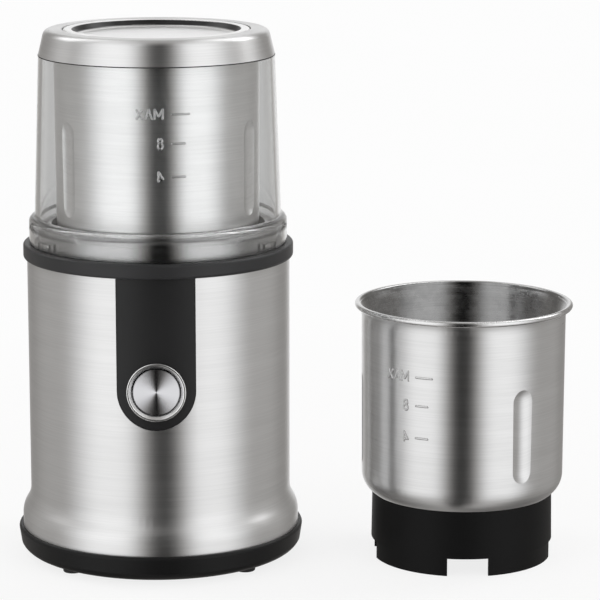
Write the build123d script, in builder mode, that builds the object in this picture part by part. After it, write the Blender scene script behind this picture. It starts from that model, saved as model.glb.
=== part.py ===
"""Electric coffee grinder: a motor base, a lift-out cup with its blade, a clear lid and a second cup.

Each piece is drawn about its own upright axis, with the table at z = 0 and the button facing -Y.
The grinder stands left of the origin and the second cup right of it, as one centred set.
"""

import os
from math import asin, cos, degrees, radians, sin, sqrt

from build123d import *

# Clearances that mating pieces share
running_gap = 0.04
seat_gap = 0.05
slide_gap = 0.3
overrun = 3.0

# Base plate and feet
brim_width = 1.7
brim_taper_width = 0.9
brim_crown_width = 0.7
heel_width = 6.8
foot_stand = 1.4
base_floor = 2.6
brim_foot_height = 5.0
brim_wide_height = 10.8
ledge_height = 12.0
locator_height = 3.0
locator_wall = 2.2
foot_count = 4
foot_start_angle = 45
foot_radius = 4.0
foot_inset_width = 2.5
foot_sink = 1.6
foot_round = 0.6
vent_count = 12
vent_inset_width = 17.0
vent_length = 14.0
vent_width = 2.6

# Cross recess of every screw
cross_length_share = 1.2
cross_width_share = 0.3
cross_depth_share = 0.5

# Screws between the base plate and the housing
base_screw_count = 4
base_screw_inset_width = 5.4
base_screw_radius = 1.5
base_screw_length = 11.0
base_screw_head_radius = 3.0
base_screw_head_height = 1.4
base_boss_radius = 3.8
base_boss_height = 13.0

# Steel sleeve
sleeve_wall = 0.6
sleeve_height = 111.0
flare_width = 3.4
skirt_foot_height = 4.6
flare_height = 11.2

# Collar, its steel trim and the deck that the lid stands on
collar_step_width = 1.5
deck_rim_width = 2.5
collar_height = 6.0
collar_round = 1.0
collar_low_round = 1.2
collar_wall = 2.0
collar_inner_wall = 3.2
deck_wall = 2.5
spigot_depth = 6.0
mouth_gap = 1.9
trim_ledge_width = 5.3
trim_height = 8.0
trim_wall = 0.6
trim_round = 1.6

# Housing inside the sleeve
housing_gap = 3.2
housing_wall = 2.0
shelf_drop_height = 13.8
shelf_wall = 3.0
shelf_hole_radius = 20.0
bolt_boss_radius = 4.0
bolt_boss_height = 4.0

# Socket that takes the cup
socket_wall = 2.2
socket_floor = 2.5
socket_flange = 3.0
shaft_hole_radius = 4.0
splash_wall = 1.6
splash_height = 1.6
key_height = 6.9
socket_screw_count = 4
socket_screw_start_angle = 45
socket_screw_radius = 1.1
socket_screw_length = 7.0
socket_screw_head_radius = 2.0
socket_screw_head_height = 1.5

# Front panel
panel_half_width = 15.6
panel_gap = 0.15
panel_inset = 0.3
panel_depth = 2.3
panel_lip = 3.0
panel_lip_gap = 0.5

# Button, its bezel and the well behind it
button_drop_height = 45.0
button_radius = 9.2
button_recess = 0.9
button_cap_wall = 1.0
button_cap_round = 0.3
button_travel = 2.5
bezel_radius = 11.7
bezel_proud = 1.2
bezel_depth = 4.4
bezel_lip = 0.9
bezel_lip_round = 0.35
bezel_slope_depth = 1.5
well_wall = 1.9
well_room = 3.0
well_web = 1.6
stem_radius = 4.0
stem_head_radius = 8.6
stem_head_height = 1.5
stem_tail = 0.8
button_spring_radius = 6.2
button_spring_wire = 0.3
button_spring_turns = 4

# Power switch behind the button, between two arms of the panel
switch_width = 20.0
switch_height = 10.0
switch_depth = 10.0
switch_nub_radius = 2.0
switch_nub_length = 1.2
arm_wall = 1.6
arm_grip = 6.5

# Lid interlock at the back
tab_width = 8.0
tab_wall = 1.5
tab_drop = 3.0
tab_rise = 5.0
lug_gap = 0.4
pin_rise = 2.0
pin_radius = 1.4
pin_length = 7.5
pin_shoulder_radius = 1.95
pin_shoulder_height = 0.8
pin_shoulder_drop = 4.6
pin_boss_radius = 2.7
pin_bore_radius = 2.1
interlock_width = 10.0
interlock_depth = 6.0
interlock_setback = 1.2
interlock_height = 14.0
interlock_nub_radius = 1.0
interlock_nub_length = 1.0
interlock_spring_radius = 1.68
interlock_spring_wire = 0.2
interlock_spring_turns = 5

# Motor, from the bottom up
shaft_radius = 3.0
shaft_foot = 9.2
bearing_radius = 6.5
bearing_height = 5.0
bracket_length = 66.0
bracket_width = 22.0
bracket_wall = 3.0
bracket_boss_radius = 9.0
bracket_lip = 1.4
bracket_lip_hole_radius = 4.5
lower_bracket_height = 12.0
upper_bearing_drop = 7.0
brush_arm_length = 60.0
commutator_radius = 9.0
commutator_foot = 19.0
commutator_height = 10.0
commutator_bars = 12
commutator_groove = 0.6
stator_foot = 37.0
stator_drop_height = 9.0
stator_width = 62.0
stator_depth = 56.0
stator_corner = 9.0
stator_bore_radius = 17.0
stator_slot_radius = 24.0
stator_slot_span = 84
coil_inner_radius = 17.8
coil_outer_radius = 23.4
coil_span = 168
coil_pole_span = 102
coil_end_height = 4.0
armature_radius = 16.4
armature_slots = 12
armature_slot_width = 3.0
armature_slot_depth = 6.0
winding_bar_width = 2.6
winding_bar_depth = 5.0
winding_end_height = 6.0
winding_inner_radius = 8.0
fan_drop_height = 18.0
fan_radius = 23.0
fan_height = 8.0
fan_disc = 1.2
fan_hub_radius = 6.0
fan_blade_count = 9
fan_blade_wall = 1.2
fan_blade_root = 5.0
fan_blade_tip = 22.2
bolt_spacing = 54.0
bolt_radius = 1.75
bolt_head_radius = 3.2
bolt_head_height = 2.5

# Brushes on the lower bracket
holder_width = 9.0
holder_length = 16.0
holder_height = 14.0
holder_inner_reach = 12.0
brush_width = 5.0
brush_height = 6.0
brush_length = 15.0
brush_gap = 0.4

# Circuit board at the back
board_width = 30.0
board_height = 40.0
board_wall = 1.6
board_back_gap = 9.4
board_lift = 1.0
board_post_length = 5.0
board_post_width = 5.0
board_post_height = 8.0
capacitor_width = 14.0
capacitor_depth = 7.0
capacitor_height = 12.0
capacitor_lift = 19.0

# Gland for the cord, through the back of the sleeve
gland_height = 37.0
gland_radius = 6.2
gland_bore_radius = 3.6
gland_flange_radius = 8.0
gland_flange_wall = 2.6
gland_flange_round = 1.0
gland_lock_radius = 7.8
gland_lock_wall = 3.0

# Cup, measured up from the foot of its black base
cup_base_inset_width = 4.05
cup_base_step_width = 0.75
cup_base_taper_width = 0.35
cup_base_wall = 2.2
cup_base_step_height = 7.4
notch_count = 4
notch_width = 16.5
bowl_foot = 25.3
bowl_corner = 9.8
bowl_taper_width = 0.3
bowl_radius = 41.3
bowl_wall = 0.6
rim_height = 104.3
neck_height = 5.0
bead_radius = 1.15
bead_gap = 0.5
bead_lap_share = 0.2
flute_count = 3
flute_angle = -59
flute_depth = 1.5
flute_bend = 10.0
flute_foot = 42.8
flute_length = 28.3
web_wall = 4.3
hub_radius = 11.0
hub_height = 8.1
bush_radius = 6.0
bush_flange_radius = 8.5
bush_flange_wall = 1.0
cup_nut_width = 15.0
cup_nut_height = 2.3
seal_radius = 5.5
seal_height = 2.0

# Blade on its shaft
blade_collar_radius = 4.6
blade_collar_height = 1.5
blade_collar_gap = 0.5
blade_gap = 5.4
blade_wall = 1.4
blade_hub_radius = 8.5
blade_root_width = 12.0
blade_tip_width = 7.5
blade_tip_round = 2.0
blade_root_reach = 7.0
blade_pitch = 14
blade_nut_width = 10.0
blade_nut_height = 3.0
blade_nut_dome = 1.6
fitted_wings = 2
spare_wings = 4

# Dog coupling between the motor's shaft and the blade's shaft
coupling_radius = 11.0
coupling_disc = 3.0
coupling_foot = 3.0
dog_height = 4.7
dog_inner_radius = 5.0
dog_gap = 0.5
dog_count = 3
dog_span = 48

# Lid
lid_flange_wall = 1.8
lid_flange_height = 11.0
lid_flange_roof = 1.6
lid_shoulder_round = 2.2
lid_step_width = 2.4
lid_waist_round = 0.6
lid_taper_width = 2.35
lid_neck_wall = 1.0
lid_top_wall = 1.4
lid_lug_spread = 62
lid_lug_width = 8.0
lid_lug_height = 3.0
cap_height = 10.3
cap_lap_height = 3.7
cap_taper_width = 2.45
cap_wall = 0.6
cap_round = 2.8
cap_ring_width = 7.6
dish_lip = 3.4
dish_lip_round = 0.6
dish_lean = 1.8
dish_cove = 2.4
dish_depth = 2.8
dish_wall = 0.6
dish_groove = 0.5

# Places: how high the cup sits, how it is turned, and where the second cup stands
bowl_rise_height = 0.6
cup_turn = 32
spare_gap = 21.2
spare_reach = 10.0

# Radii that follow, from the cup outwards
bowl_low_radius = bowl_radius - bowl_taper_width
bead_circle = bowl_radius + bead_radius + bead_gap
cup_base_wide_radius = bowl_low_radius - cup_base_inset_width
cup_base_foot_radius = cup_base_wide_radius - cup_base_step_width
cup_base_top_radius = cup_base_wide_radius - cup_base_taper_width
blade_radius = bowl_low_radius - bowl_wall - blade_gap
mouth_radius = bowl_radius + mouth_gap
trim_radius = mouth_radius + trim_ledge_width
tab_inner_radius = trim_radius + lug_gap
lid_flange_inner = tab_inner_radius + tab_wall
lid_radius = lid_flange_inner + lid_flange_wall
lid_waist_radius = lid_radius - lid_step_width
lid_neck_radius = lid_waist_radius - lid_taper_width
cap_top_radius = lid_neck_radius - cap_taper_width
dish_radius = cap_top_radius - cap_ring_width
collar_radius = lid_radius + deck_rim_width
body_radius = collar_radius - collar_step_width
sleeve_inner_radius = body_radius - sleeve_wall
skirt_radius = body_radius + flare_width
base_radius = skirt_radius + brim_width
brim_foot_radius = base_radius - brim_taper_width
brim_top_radius = base_radius - brim_crown_width
underside_radius = base_radius - heel_width
foot_circle = underside_radius - foot_inset_width
housing_radius = sleeve_inner_radius - housing_gap
housing_inner_radius = housing_radius - housing_wall
base_screw_circle = housing_radius - base_screw_inset_width
vent_circle = base_screw_circle - vent_inset_width
board_reach = housing_inner_radius - board_back_gap
panel_inner_radius = body_radius - panel_depth

# Other sizes and places that follow
base_floor_top = foot_stand + base_floor
locator_radius = skirt_radius - sleeve_wall - seat_gap
locator_top = ledge_height + locator_height
sleeve_top = ledge_height + sleeve_height
flare_bend = (flare_height**2 + flare_width**2) / (4 * flare_width)
flare_turn = degrees(asin(flare_height / 2 / flare_bend))
deck_top = sleeve_top + collar_height
cup_seat_height = deck_top - bowl_foot + bowl_rise_height
shelf_height = cup_seat_height - socket_floor - shelf_drop_height
button_height = sleeve_top - button_drop_height
deck_under = deck_top - deck_wall
collar_foot = sleeve_top - spigot_depth
spigot_radius = sleeve_inner_radius - seat_gap
trim_top = deck_top + trim_height
flange_foot = collar_foot - socket_flange
shelf_top = shelf_height + shelf_wall
socket_radius = cup_base_wide_radius + slide_gap
socket_outer_radius = socket_radius + socket_wall
socket_screw_circle = mouth_radius + collar_inner_wall / 2
panel_outer_radius = body_radius - panel_inset
panel_lip_top = collar_foot - panel_lip_gap
bezel_face = body_radius + bezel_proud
bezel_back = bezel_face - bezel_depth
bezel_inner_radius = button_radius + slide_gap
button_face = bezel_face - button_recess
stem_head_face = button_face - button_cap_wall
stem_head_back = stem_head_face - stem_head_height
well_radius = bezel_radius + well_wall
well_floor = bezel_back - well_room
well_back = well_floor - well_web
stem_back = well_back - stem_tail
switch_nub_face = stem_back - button_travel - slide_gap
switch_face = switch_nub_face - switch_nub_length
arm_reach = switch_face - arm_grip
pin_circle = tab_inner_radius + tab_wall / 2
tab_foot = deck_top - tab_drop
pin_top = tab_foot - slide_gap
pin_foot = pin_top - pin_length
pin_slot_foot = pin_top - slide_gap
pin_shoulder_top = pin_top - pin_shoulder_drop
pin_bore_top = pin_shoulder_top + pin_rise + slide_gap
interlock_foot = collar_foot - interlock_height
interlock_reach = pin_circle - interlock_setback
upper_bracket_height = shelf_height - bracket_wall
fan_foot = shelf_height - fan_drop_height
stator_top = fan_foot - stator_drop_height
stator_height = stator_top - stator_foot
bolt_spots = [(bolt_spacing / 2, 0), (-bolt_spacing / 2, 0)]
gland_face = body_radius + seat_gap
gland_lock_face = sqrt(housing_inner_radius**2 - gland_lock_radius**2) - slide_gap
gland_back = gland_lock_face - gland_lock_wall
bowl_floor = bowl_foot + bowl_wall
hub_foot = bowl_foot - hub_height
bush_top = bowl_floor + bush_flange_wall
bush_foot = hub_foot - cup_nut_height - slide_gap
seal_top = bush_top + seal_height
blade_collar_foot = seal_top + blade_collar_gap
blade_foot = blade_collar_foot + blade_collar_height
blade_top = blade_foot + blade_wall
drive_disc_foot = cup_seat_height + coupling_foot
drive_disc_top = drive_disc_foot + coupling_disc
dog_foot = coupling_foot + coupling_disc + dog_gap
driven_disc_foot = dog_foot + dog_height
flange_top = deck_top + lid_flange_height
seam_height = cup_seat_height + rim_height - cap_lap_height
lid_top = seam_height + cap_height
cap_inset = cap_wall + seat_gap
shell_top = lid_top - cap_inset
dish_foot = lid_top - dish_depth - dish_wall
dish_seat = dish_foot - seat_gap
dish_seat_radius = dish_radius + seat_gap
spare_distance = base_radius + bead_circle + bead_radius + spare_gap
set_shift = (spare_distance + bead_circle + bead_radius - base_radius) / 2
front_angle = -90

grinder_place = Location((-set_shift, 0, 0))
cup_place = Location((-set_shift, 0, cup_seat_height), (0, 0, cup_turn))
spare_place = Location((spare_distance - set_shift, -spare_reach, 0))


def write(piece, node, place=grinder_place):
    """Write a finished piece as its own node, set down at its place."""
    piece.part.label = node
    export_step(piece.part.moved(place), f"parts/{node}.step")


def ring_spots(circle, count, start_angle):
    """Evenly spaced points on a circle."""
    angles = [radians(start_angle + 360 * i / count) for i in range(count)]
    return [(circle * cos(a), circle * sin(a)) for a in angles]


def draw_sectors(inner, outer, span, angles):
    """Ring sectors about these angles, inside a sketch."""
    for angle in angles:
        with BuildLine() as sector:
            inside = CenterArc((0, 0), inner, angle - span / 2, span)
            outside = CenterArc((0, 0), outer, angle - span / 2, span)
            Line(inside @ 0, outside @ 0)
            Line(inside @ 1, outside @ 1)
        make_face(sector.edges())


def draw_window(half_width, top):
    """The front panel's outline, round at its foot about the button's centre, inside a sketch."""
    with Locations((0, button_height)):
        Circle(half_width)
    with Locations((0, (button_height + top) / 2)):
        Rectangle(2 * half_width, top - button_height)


def make_screws(spots, head_foot, head_radius, head_height, radius, length):
    """Screws that stand on their heads at these spots, each with a cross recess."""
    with BuildPart() as screws:
        with BuildSketch(Plane.XY.offset(head_foot)):
            with Locations(*spots):
                Circle(head_radius)
        extrude(amount=head_height)
        with BuildSketch(Plane.XY.offset(head_foot + head_height)):
            with Locations(*spots):
                Circle(radius)
        extrude(amount=length)
        with BuildSketch(Plane.XY.offset(head_foot)):
            with Locations(*spots):
                Rectangle(cross_length_share * head_radius, cross_width_share * head_radius)
                Rectangle(cross_width_share * head_radius, cross_length_share * head_radius)
        extrude(amount=cross_depth_share * head_height, mode=Mode.SUBTRACT)
    return screws


def make_spring(foot, direction, length, radius, wire, turns):
    """A round-wire compression spring that fills the length from its foot."""
    rise = length - 2 * wire
    start = Vector(*foot) + Vector(*direction) * wire
    with BuildPart() as spring:
        with BuildLine():
            coil = Helix(rise / turns, rise, radius, center=start, direction=direction)
        with BuildSketch(Plane(origin=coil @ 0, z_dir=coil % 0)):
            Circle(wire)
        sweep(is_frenet=True)
    return spring


os.makedirs("parts", exist_ok=True)

# Base plate: a brimmed dish with air slots, foot pockets, screw recesses and two posts for the board
with BuildPart() as base_plate:
    with BuildSketch(Plane.XZ):
        with BuildLine():
            under = Line((0, foot_stand), (underside_radius, foot_stand))
            heel = TangentArc(under @ 1, (brim_foot_radius, brim_foot_height), tangent=(1, 0))
            brim = Line(heel @ 1, (base_radius, brim_wide_height))
            crown = TangentArc(brim @ 1, (brim_top_radius, ledge_height), tangent=(0, 1))
            Polyline(
                crown @ 1,
                (locator_radius, ledge_height),
                (locator_radius, locator_top),
                (locator_radius - locator_wall, locator_top),
                (locator_radius - locator_wall, base_floor_top),
                (0, base_floor_top),
                under @ 0,
            )
        make_face()
    revolve(axis=Axis.Z)
    with BuildSketch(Plane.XY.offset(base_floor_top)):
        with Locations((0, board_reach)):
            with GridLocations(board_width - board_post_length, 0, 2, 1):
                Rectangle(board_post_length, board_post_width)
    extrude(amount=board_post_height)
    with BuildSketch(Plane.XY.offset(base_floor_top + board_lift)):
        with Locations((0, board_reach)):
            Rectangle(board_width + overrun, board_wall + 2 * seat_gap)
    extrude(amount=board_post_height, mode=Mode.SUBTRACT)
    with BuildSketch():
        with PolarLocations(foot_circle, foot_count, foot_start_angle):
            Circle(foot_radius + seat_gap)
    extrude(amount=foot_stand + foot_sink, mode=Mode.SUBTRACT)
    with BuildSketch():
        with PolarLocations(base_screw_circle, base_screw_count):
            Circle(base_screw_head_radius + seat_gap)
    extrude(amount=foot_stand + base_screw_head_height, mode=Mode.SUBTRACT)
    with BuildSketch():
        with PolarLocations(base_screw_circle, base_screw_count):
            Circle(base_screw_radius + seat_gap)
        with PolarLocations(vent_circle, vent_count):
            SlotOverall(vent_length, vent_width)
    extrude(amount=base_floor_top + overrun, mode=Mode.SUBTRACT)
write(base_plate, "base_plate")

with BuildPart() as rubber_feet:
    with BuildSketch():
        with PolarLocations(foot_circle, foot_count, foot_start_angle):
            Circle(foot_radius)
    extrude(amount=foot_stand + foot_sink)
    fillet(rubber_feet.edges().group_by(Axis.Z)[0], foot_round)
write(rubber_feet, "rubber_feet")

base_screws = make_screws(
    ring_spots(base_screw_circle, base_screw_count, 0),
    foot_stand,
    base_screw_head_radius,
    base_screw_head_height,
    base_screw_radius,
    base_screw_length,
)
write(base_screws, "base_screws")


def draw_sleeve_side(inset):
    """One side of the sleeve's section from the skirt's foot to the top, set in from the outside."""
    skirt_top = ledge_height + skirt_foot_height
    foot = Line((skirt_radius - inset, ledge_height), (skirt_radius - inset, skirt_top))
    lower = JernArc(foot @ 1, (0, 1), flare_bend - inset, flare_turn)
    upper = JernArc(lower @ 1, lower % 1, flare_bend + inset, -flare_turn)
    wall = Line(upper @ 1, (body_radius - inset, sleeve_top))
    return foot @ 0, wall @ 1


# Steel sleeve: a flared tube, open in front for the panel and pierced at the back for the gland
with BuildPart() as steel_sleeve:
    with BuildSketch(Plane.XZ):
        with BuildLine():
            outer_foot, outer_top = draw_sleeve_side(0)
            inner_foot, inner_top = draw_sleeve_side(sleeve_wall)
            Line(outer_foot, inner_foot)
            Line(outer_top, inner_top)
        make_face()
    revolve(axis=Axis.Z)
    with BuildSketch(Plane.XZ):
        draw_window(panel_half_width, sleeve_top + overrun)
    extrude(amount=skirt_radius, mode=Mode.SUBTRACT)
    with BuildSketch(Plane.XZ):
        with Locations((0, gland_height)):
            Circle(gland_radius + seat_gap)
    extrude(amount=-skirt_radius, mode=Mode.SUBTRACT)
write(steel_sleeve, "steel_sleeve")

# Collar: the deck under the lid, the upstand under the trim, and the spigot inside the sleeve
upstand_radius = trim_radius - trim_wall - seat_gap
upstand_top = trim_top - trim_wall - seat_gap
collar_inner_radius = mouth_radius + collar_inner_wall
with BuildPart() as top_collar:
    with BuildSketch(Plane.XZ):
        with BuildLine():
            FilletPolyline(
                (mouth_radius, collar_foot),
                (collar_inner_radius, collar_foot),
                (collar_inner_radius, deck_under),
                (spigot_radius - collar_wall, deck_under),
                (spigot_radius - collar_wall, collar_foot),
                (spigot_radius, collar_foot),
                (spigot_radius, sleeve_top),
                (collar_radius, sleeve_top),
                (collar_radius, deck_top),
                (upstand_radius, deck_top),
                (upstand_radius, upstand_top),
                (mouth_radius, upstand_top),
                radius=[0] * 7 + [collar_low_round, collar_round, 0, trim_round - trim_wall, 0],
                close=True,
            )
        make_face()
    revolve(axis=Axis.Z)
    with BuildSketch(Plane.XY.offset(collar_foot)):
        with Locations((0, -collar_inner_radius - seat_gap)):
            Rectangle(
                2 * (panel_half_width + panel_lip + slide_gap),
                skirt_radius,
                align=(Align.CENTER, Align.MAX),
            )
    extrude(amount=spigot_depth, mode=Mode.SUBTRACT)
    with BuildSketch(Plane.XY.offset(collar_foot)):
        with Locations((0, pin_circle)):
            Circle(pin_boss_radius)
    extrude(amount=deck_under - collar_foot)
    with BuildSketch(Plane.XY.offset(collar_foot)):
        with Locations((0, pin_circle)):
            Circle(pin_bore_radius)
    extrude(amount=pin_bore_top - collar_foot, mode=Mode.SUBTRACT)
    with BuildSketch(Plane.XY.offset(collar_foot)):
        with Locations((0, pin_circle)):
            Circle(pin_radius + running_gap)
    extrude(amount=pin_top + pin_rise + slide_gap - collar_foot, mode=Mode.SUBTRACT)
    with BuildSketch(Plane.XY.offset(pin_slot_foot)):
        with Locations((0, pin_circle)):
            Rectangle(tab_width + 2 * slide_gap, tab_wall + 2 * slide_gap)
    extrude(amount=deck_wall + overrun, mode=Mode.SUBTRACT)
    with BuildSketch(Plane.XY.offset(collar_foot)):
        with PolarLocations(socket_screw_circle, socket_screw_count, socket_screw_start_angle):
            Circle(socket_screw_radius + seat_gap)
    extrude(amount=socket_screw_length, mode=Mode.SUBTRACT)
write(top_collar, "top_collar")

# Steel trim pressed over the upstand
with BuildPart() as socket_trim:
    with BuildSketch(Plane.XZ):
        with BuildLine():
            FilletPolyline(
                (trim_radius - trim_wall, deck_top),
                (trim_radius, deck_top),
                (trim_radius, trim_top),
                (mouth_radius, trim_top),
                (mouth_radius, trim_top - trim_wall),
                (trim_radius - trim_wall, trim_top - trim_wall),
                radius=[0, 0, trim_round, 0, 0, trim_round - trim_wall],
                close=True,
            )
        make_face()
    revolve(axis=Axis.Z)
write(socket_trim, "socket_trim")

# Socket: a round well whose keys stand in the notches of the cup's base
cup_front_angle = front_angle + cup_turn
key_inner_radius = cup_base_foot_radius - cup_base_wall
key_depth = socket_radius - key_inner_radius + socket_wall / 2
splash_radius = shaft_hole_radius + splash_wall
with BuildPart() as cup_socket:
    with BuildSketch(Plane.XZ):
        with BuildLine():
            Polyline(
                (shaft_hole_radius, cup_seat_height - socket_floor),
                (socket_outer_radius, cup_seat_height - socket_floor),
                (socket_outer_radius, flange_foot),
                (housing_radius, flange_foot),
                (housing_radius, collar_foot),
                (socket_outer_radius, collar_foot),
                (socket_outer_radius, deck_under),
                (mouth_radius - seat_gap, deck_under),
                (mouth_radius - seat_gap, deck_top),
                (socket_radius, deck_top),
                (socket_radius, cup_seat_height),
                (splash_radius, cup_seat_height),
                (splash_radius, cup_seat_height + splash_height),
                (shaft_hole_radius, cup_seat_height + splash_height),
                close=True,
            )
        make_face()
    revolve(axis=Axis.Z)
    with BuildSketch(Plane.XY.offset(cup_seat_height)):
        with PolarLocations(key_inner_radius + key_depth / 2, notch_count, cup_front_angle):
            Rectangle(key_depth, notch_width - 2 * slide_gap)
    extrude(amount=key_height)
    with BuildSketch(Plane.XY.offset(flange_foot)):
        with Locations((0, interlock_reach)):
            Rectangle(interlock_width + 2 * slide_gap, interlock_depth + 2 * slide_gap)
        with PolarLocations(socket_screw_circle, socket_screw_count, socket_screw_start_angle):
            Circle(socket_screw_radius + seat_gap)
    extrude(amount=socket_flange, mode=Mode.SUBTRACT)
write(cup_socket, "cup_socket")

socket_screws = make_screws(
    ring_spots(socket_screw_circle, socket_screw_count, socket_screw_start_angle),
    flange_foot - socket_screw_head_height,
    socket_screw_head_radius,
    socket_screw_head_height,
    socket_screw_radius,
    socket_screw_length,
)
write(socket_screws, "socket_screws")

# Housing: a tube that stands on the base plate, carries the socket and hangs the motor from its shelf
with BuildPart() as inner_housing:
    with BuildSketch(Plane.XZ):
        with BuildLine():
            Polyline(
                (housing_inner_radius, base_floor_top),
                (housing_radius, base_floor_top),
                (housing_radius, flange_foot),
                (housing_inner_radius, flange_foot),
                (housing_inner_radius, shelf_top),
                (shelf_hole_radius, shelf_top),
                (shelf_hole_radius, shelf_height),
                (housing_inner_radius, shelf_height),
                close=True,
            )
        make_face()
    revolve(axis=Axis.Z)
    with BuildSketch(Plane.XY.offset(base_floor_top)):
        with PolarLocations(base_screw_circle, base_screw_count):
            Circle(base_boss_radius)
    extrude(amount=base_boss_height)
    with BuildSketch(Plane.XY.offset(base_floor_top)):
        with PolarLocations(base_screw_circle, base_screw_count):
            Circle(base_screw_radius + seat_gap)
    extrude(amount=base_screw_length, mode=Mode.SUBTRACT)
    with BuildSketch(Plane.XY.offset(shelf_top)):
        with Locations(*bolt_spots):
            Circle(bolt_boss_radius)
    extrude(amount=bolt_boss_height)
    with BuildSketch(Plane.XY.offset(shelf_height)):
        with Locations(*bolt_spots):
            Circle(bolt_radius + seat_gap)
    extrude(amount=shelf_wall + bolt_boss_height, mode=Mode.SUBTRACT)
    with BuildSketch(Plane.XZ.offset(arm_reach - slide_gap)):
        with Locations((0, button_height)):
            Circle(well_radius + slide_gap)
    extrude(amount=housing_radius, mode=Mode.SUBTRACT)
    with BuildSketch(Plane.XZ):
        with Locations((0, gland_height)):
            Circle(gland_radius + seat_gap)
    extrude(amount=-housing_radius, mode=Mode.SUBTRACT)
    with BuildSketch(Plane.XY.offset(interlock_foot - slide_gap)):
        with Locations((0, interlock_reach)):
            Rectangle(interlock_width + 2 * slide_gap, interlock_depth + 2 * slide_gap)
    extrude(amount=interlock_height, mode=Mode.SUBTRACT)
write(inner_housing, "inner_housing")


def make_wall_patch(half_width, top, inner, outer):
    """A patch of curved wall in the panel's outline."""
    with BuildPart() as patch:
        with BuildSketch(Plane.XZ):
            draw_window(half_width, top)
        extrude(amount=skirt_radius)
        with BuildSketch():
            Circle(outer)
            Circle(inner, mode=Mode.SUBTRACT)
        extrude(amount=sleeve_top, mode=Mode.INTERSECT)
    return patch.part


# Front panel: a skin flush in the sleeve's opening, a lip behind it, the button's well and two arms
panel_skin = make_wall_patch(
    panel_half_width - panel_gap, sleeve_top, panel_inner_radius, panel_outer_radius
)
panel_back = make_wall_patch(
    panel_half_width + panel_lip, panel_lip_top, panel_inner_radius, spigot_radius
)
with BuildPart() as front_panel:
    add(panel_skin)
    add(panel_back)
    with BuildSketch(Plane.XZ.offset(well_back)):
        with Locations((0, button_height)):
            Circle(well_radius)
    extrude(amount=panel_inner_radius - well_back)
    with BuildSketch(Plane.XZ.offset(arm_reach)):
        with Locations((0, button_height)):
            with GridLocations(switch_width + arm_wall, 0, 2, 1):
                Rectangle(arm_wall, switch_height)
    extrude(amount=well_floor - arm_reach)
    with BuildSketch(Plane.XZ.offset(bezel_back)):
        with Locations((0, button_height)):
            Circle(bezel_radius + seat_gap)
    extrude(amount=bezel_depth, mode=Mode.SUBTRACT)
    with BuildSketch(Plane.XZ.offset(well_floor)):
        with Locations((0, button_height)):
            Circle(bezel_inner_radius)
    extrude(amount=well_room, mode=Mode.SUBTRACT)
    with BuildSketch(Plane.XZ.offset(well_back - overrun)):
        with Locations((0, button_height)):
            Circle(stem_radius + running_gap)
    extrude(amount=well_web + overrun, mode=Mode.SUBTRACT)
write(front_panel, "front_panel")

# Bezel: a ring with a rounded lip and a slope down to the button
button_axis = Axis((0, 0, button_height), (0, 1, 0))
button_plane = Plane.XY.offset(button_height)
with BuildPart() as button_bezel:
    with BuildSketch(button_plane):
        with BuildLine():
            FilletPolyline(
                (bezel_inner_radius, -bezel_back),
                (bezel_radius, -bezel_back),
                (bezel_radius, -bezel_face),
                (bezel_radius - bezel_lip, -bezel_face),
                (bezel_inner_radius, -bezel_face + bezel_slope_depth),
                radius=[0, 0, bezel_lip_round, bezel_lip_round, 0],
                close=True,
            )
        make_face()
    revolve(axis=button_axis)
write(button_bezel, "button_bezel")

with BuildPart() as button_cap:
    with BuildSketch(Plane.XZ.offset(stem_head_face)):
        with Locations((0, button_height)):
            Circle(button_radius)
    extrude(amount=button_cap_wall)
    fillet(button_cap.edges().group_by(Axis.Y)[0], button_cap_round)
write(button_cap, "button_cap")

with BuildPart() as button_stem:
    with BuildSketch(Plane.XZ.offset(stem_head_back)):
        with Locations((0, button_height)):
            Circle(stem_head_radius)
    extrude(amount=stem_head_height)
    with BuildSketch(Plane.XZ.offset(stem_back)):
        with Locations((0, button_height)):
            Circle(stem_radius)
    extrude(amount=stem_head_back - stem_back)
write(button_stem, "button_stem")

button_spring = make_spring(
    (0, -well_floor, button_height),
    (0, -1, 0),
    stem_head_back - well_floor,
    button_spring_radius,
    button_spring_wire,
    button_spring_turns,
)
write(button_spring, "button_spring")

with BuildPart() as power_switch:
    with BuildSketch(Plane.XZ.offset(switch_face - switch_depth)):
        with Locations((0, button_height)):
            Rectangle(switch_width, switch_height)
    extrude(amount=switch_depth)
    with BuildSketch(Plane.XZ.offset(switch_face)):
        with Locations((0, button_height)):
            Circle(switch_nub_radius)
    extrude(amount=switch_nub_length)
write(power_switch, "power_switch")

# Interlock: the lid's tab holds the pin down on the switch
with BuildPart() as interlock_switch:
    with BuildSketch(Plane.XY.offset(interlock_foot)):
        with Locations((0, interlock_reach)):
            Rectangle(interlock_width, interlock_depth)
    extrude(amount=interlock_height)
    with BuildSketch(Plane.XY.offset(collar_foot)):
        with Locations((0, pin_circle)):
            Circle(interlock_nub_radius)
    extrude(amount=interlock_nub_length)
write(interlock_switch, "interlock_switch")

pin_shoulder_foot = pin_shoulder_top - pin_shoulder_height
with BuildPart() as interlock_pin:
    with BuildSketch(Plane.XY.offset(pin_foot)):
        with Locations((0, pin_circle)):
            Circle(pin_radius)
    extrude(amount=pin_length)
    with BuildSketch(Plane.XY.offset(pin_shoulder_foot)):
        with Locations((0, pin_circle)):
            Circle(pin_shoulder_radius)
    extrude(amount=pin_shoulder_height)
write(interlock_pin, "interlock_pin")

interlock_spring = make_spring(
    (0, pin_circle, collar_foot),
    (0, 0, 1),
    pin_shoulder_foot - collar_foot,
    interlock_spring_radius,
    interlock_spring_wire,
    interlock_spring_turns,
)
write(interlock_spring, "interlock_spring")

# Motor frame: two brackets with bearings, bolted through the stator to the housing's shelf
lower_bracket_top = lower_bracket_height + bracket_wall
lower_bearing_foot = lower_bracket_top - bearing_height
upper_bearing_foot = shelf_height - upper_bearing_drop


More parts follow.
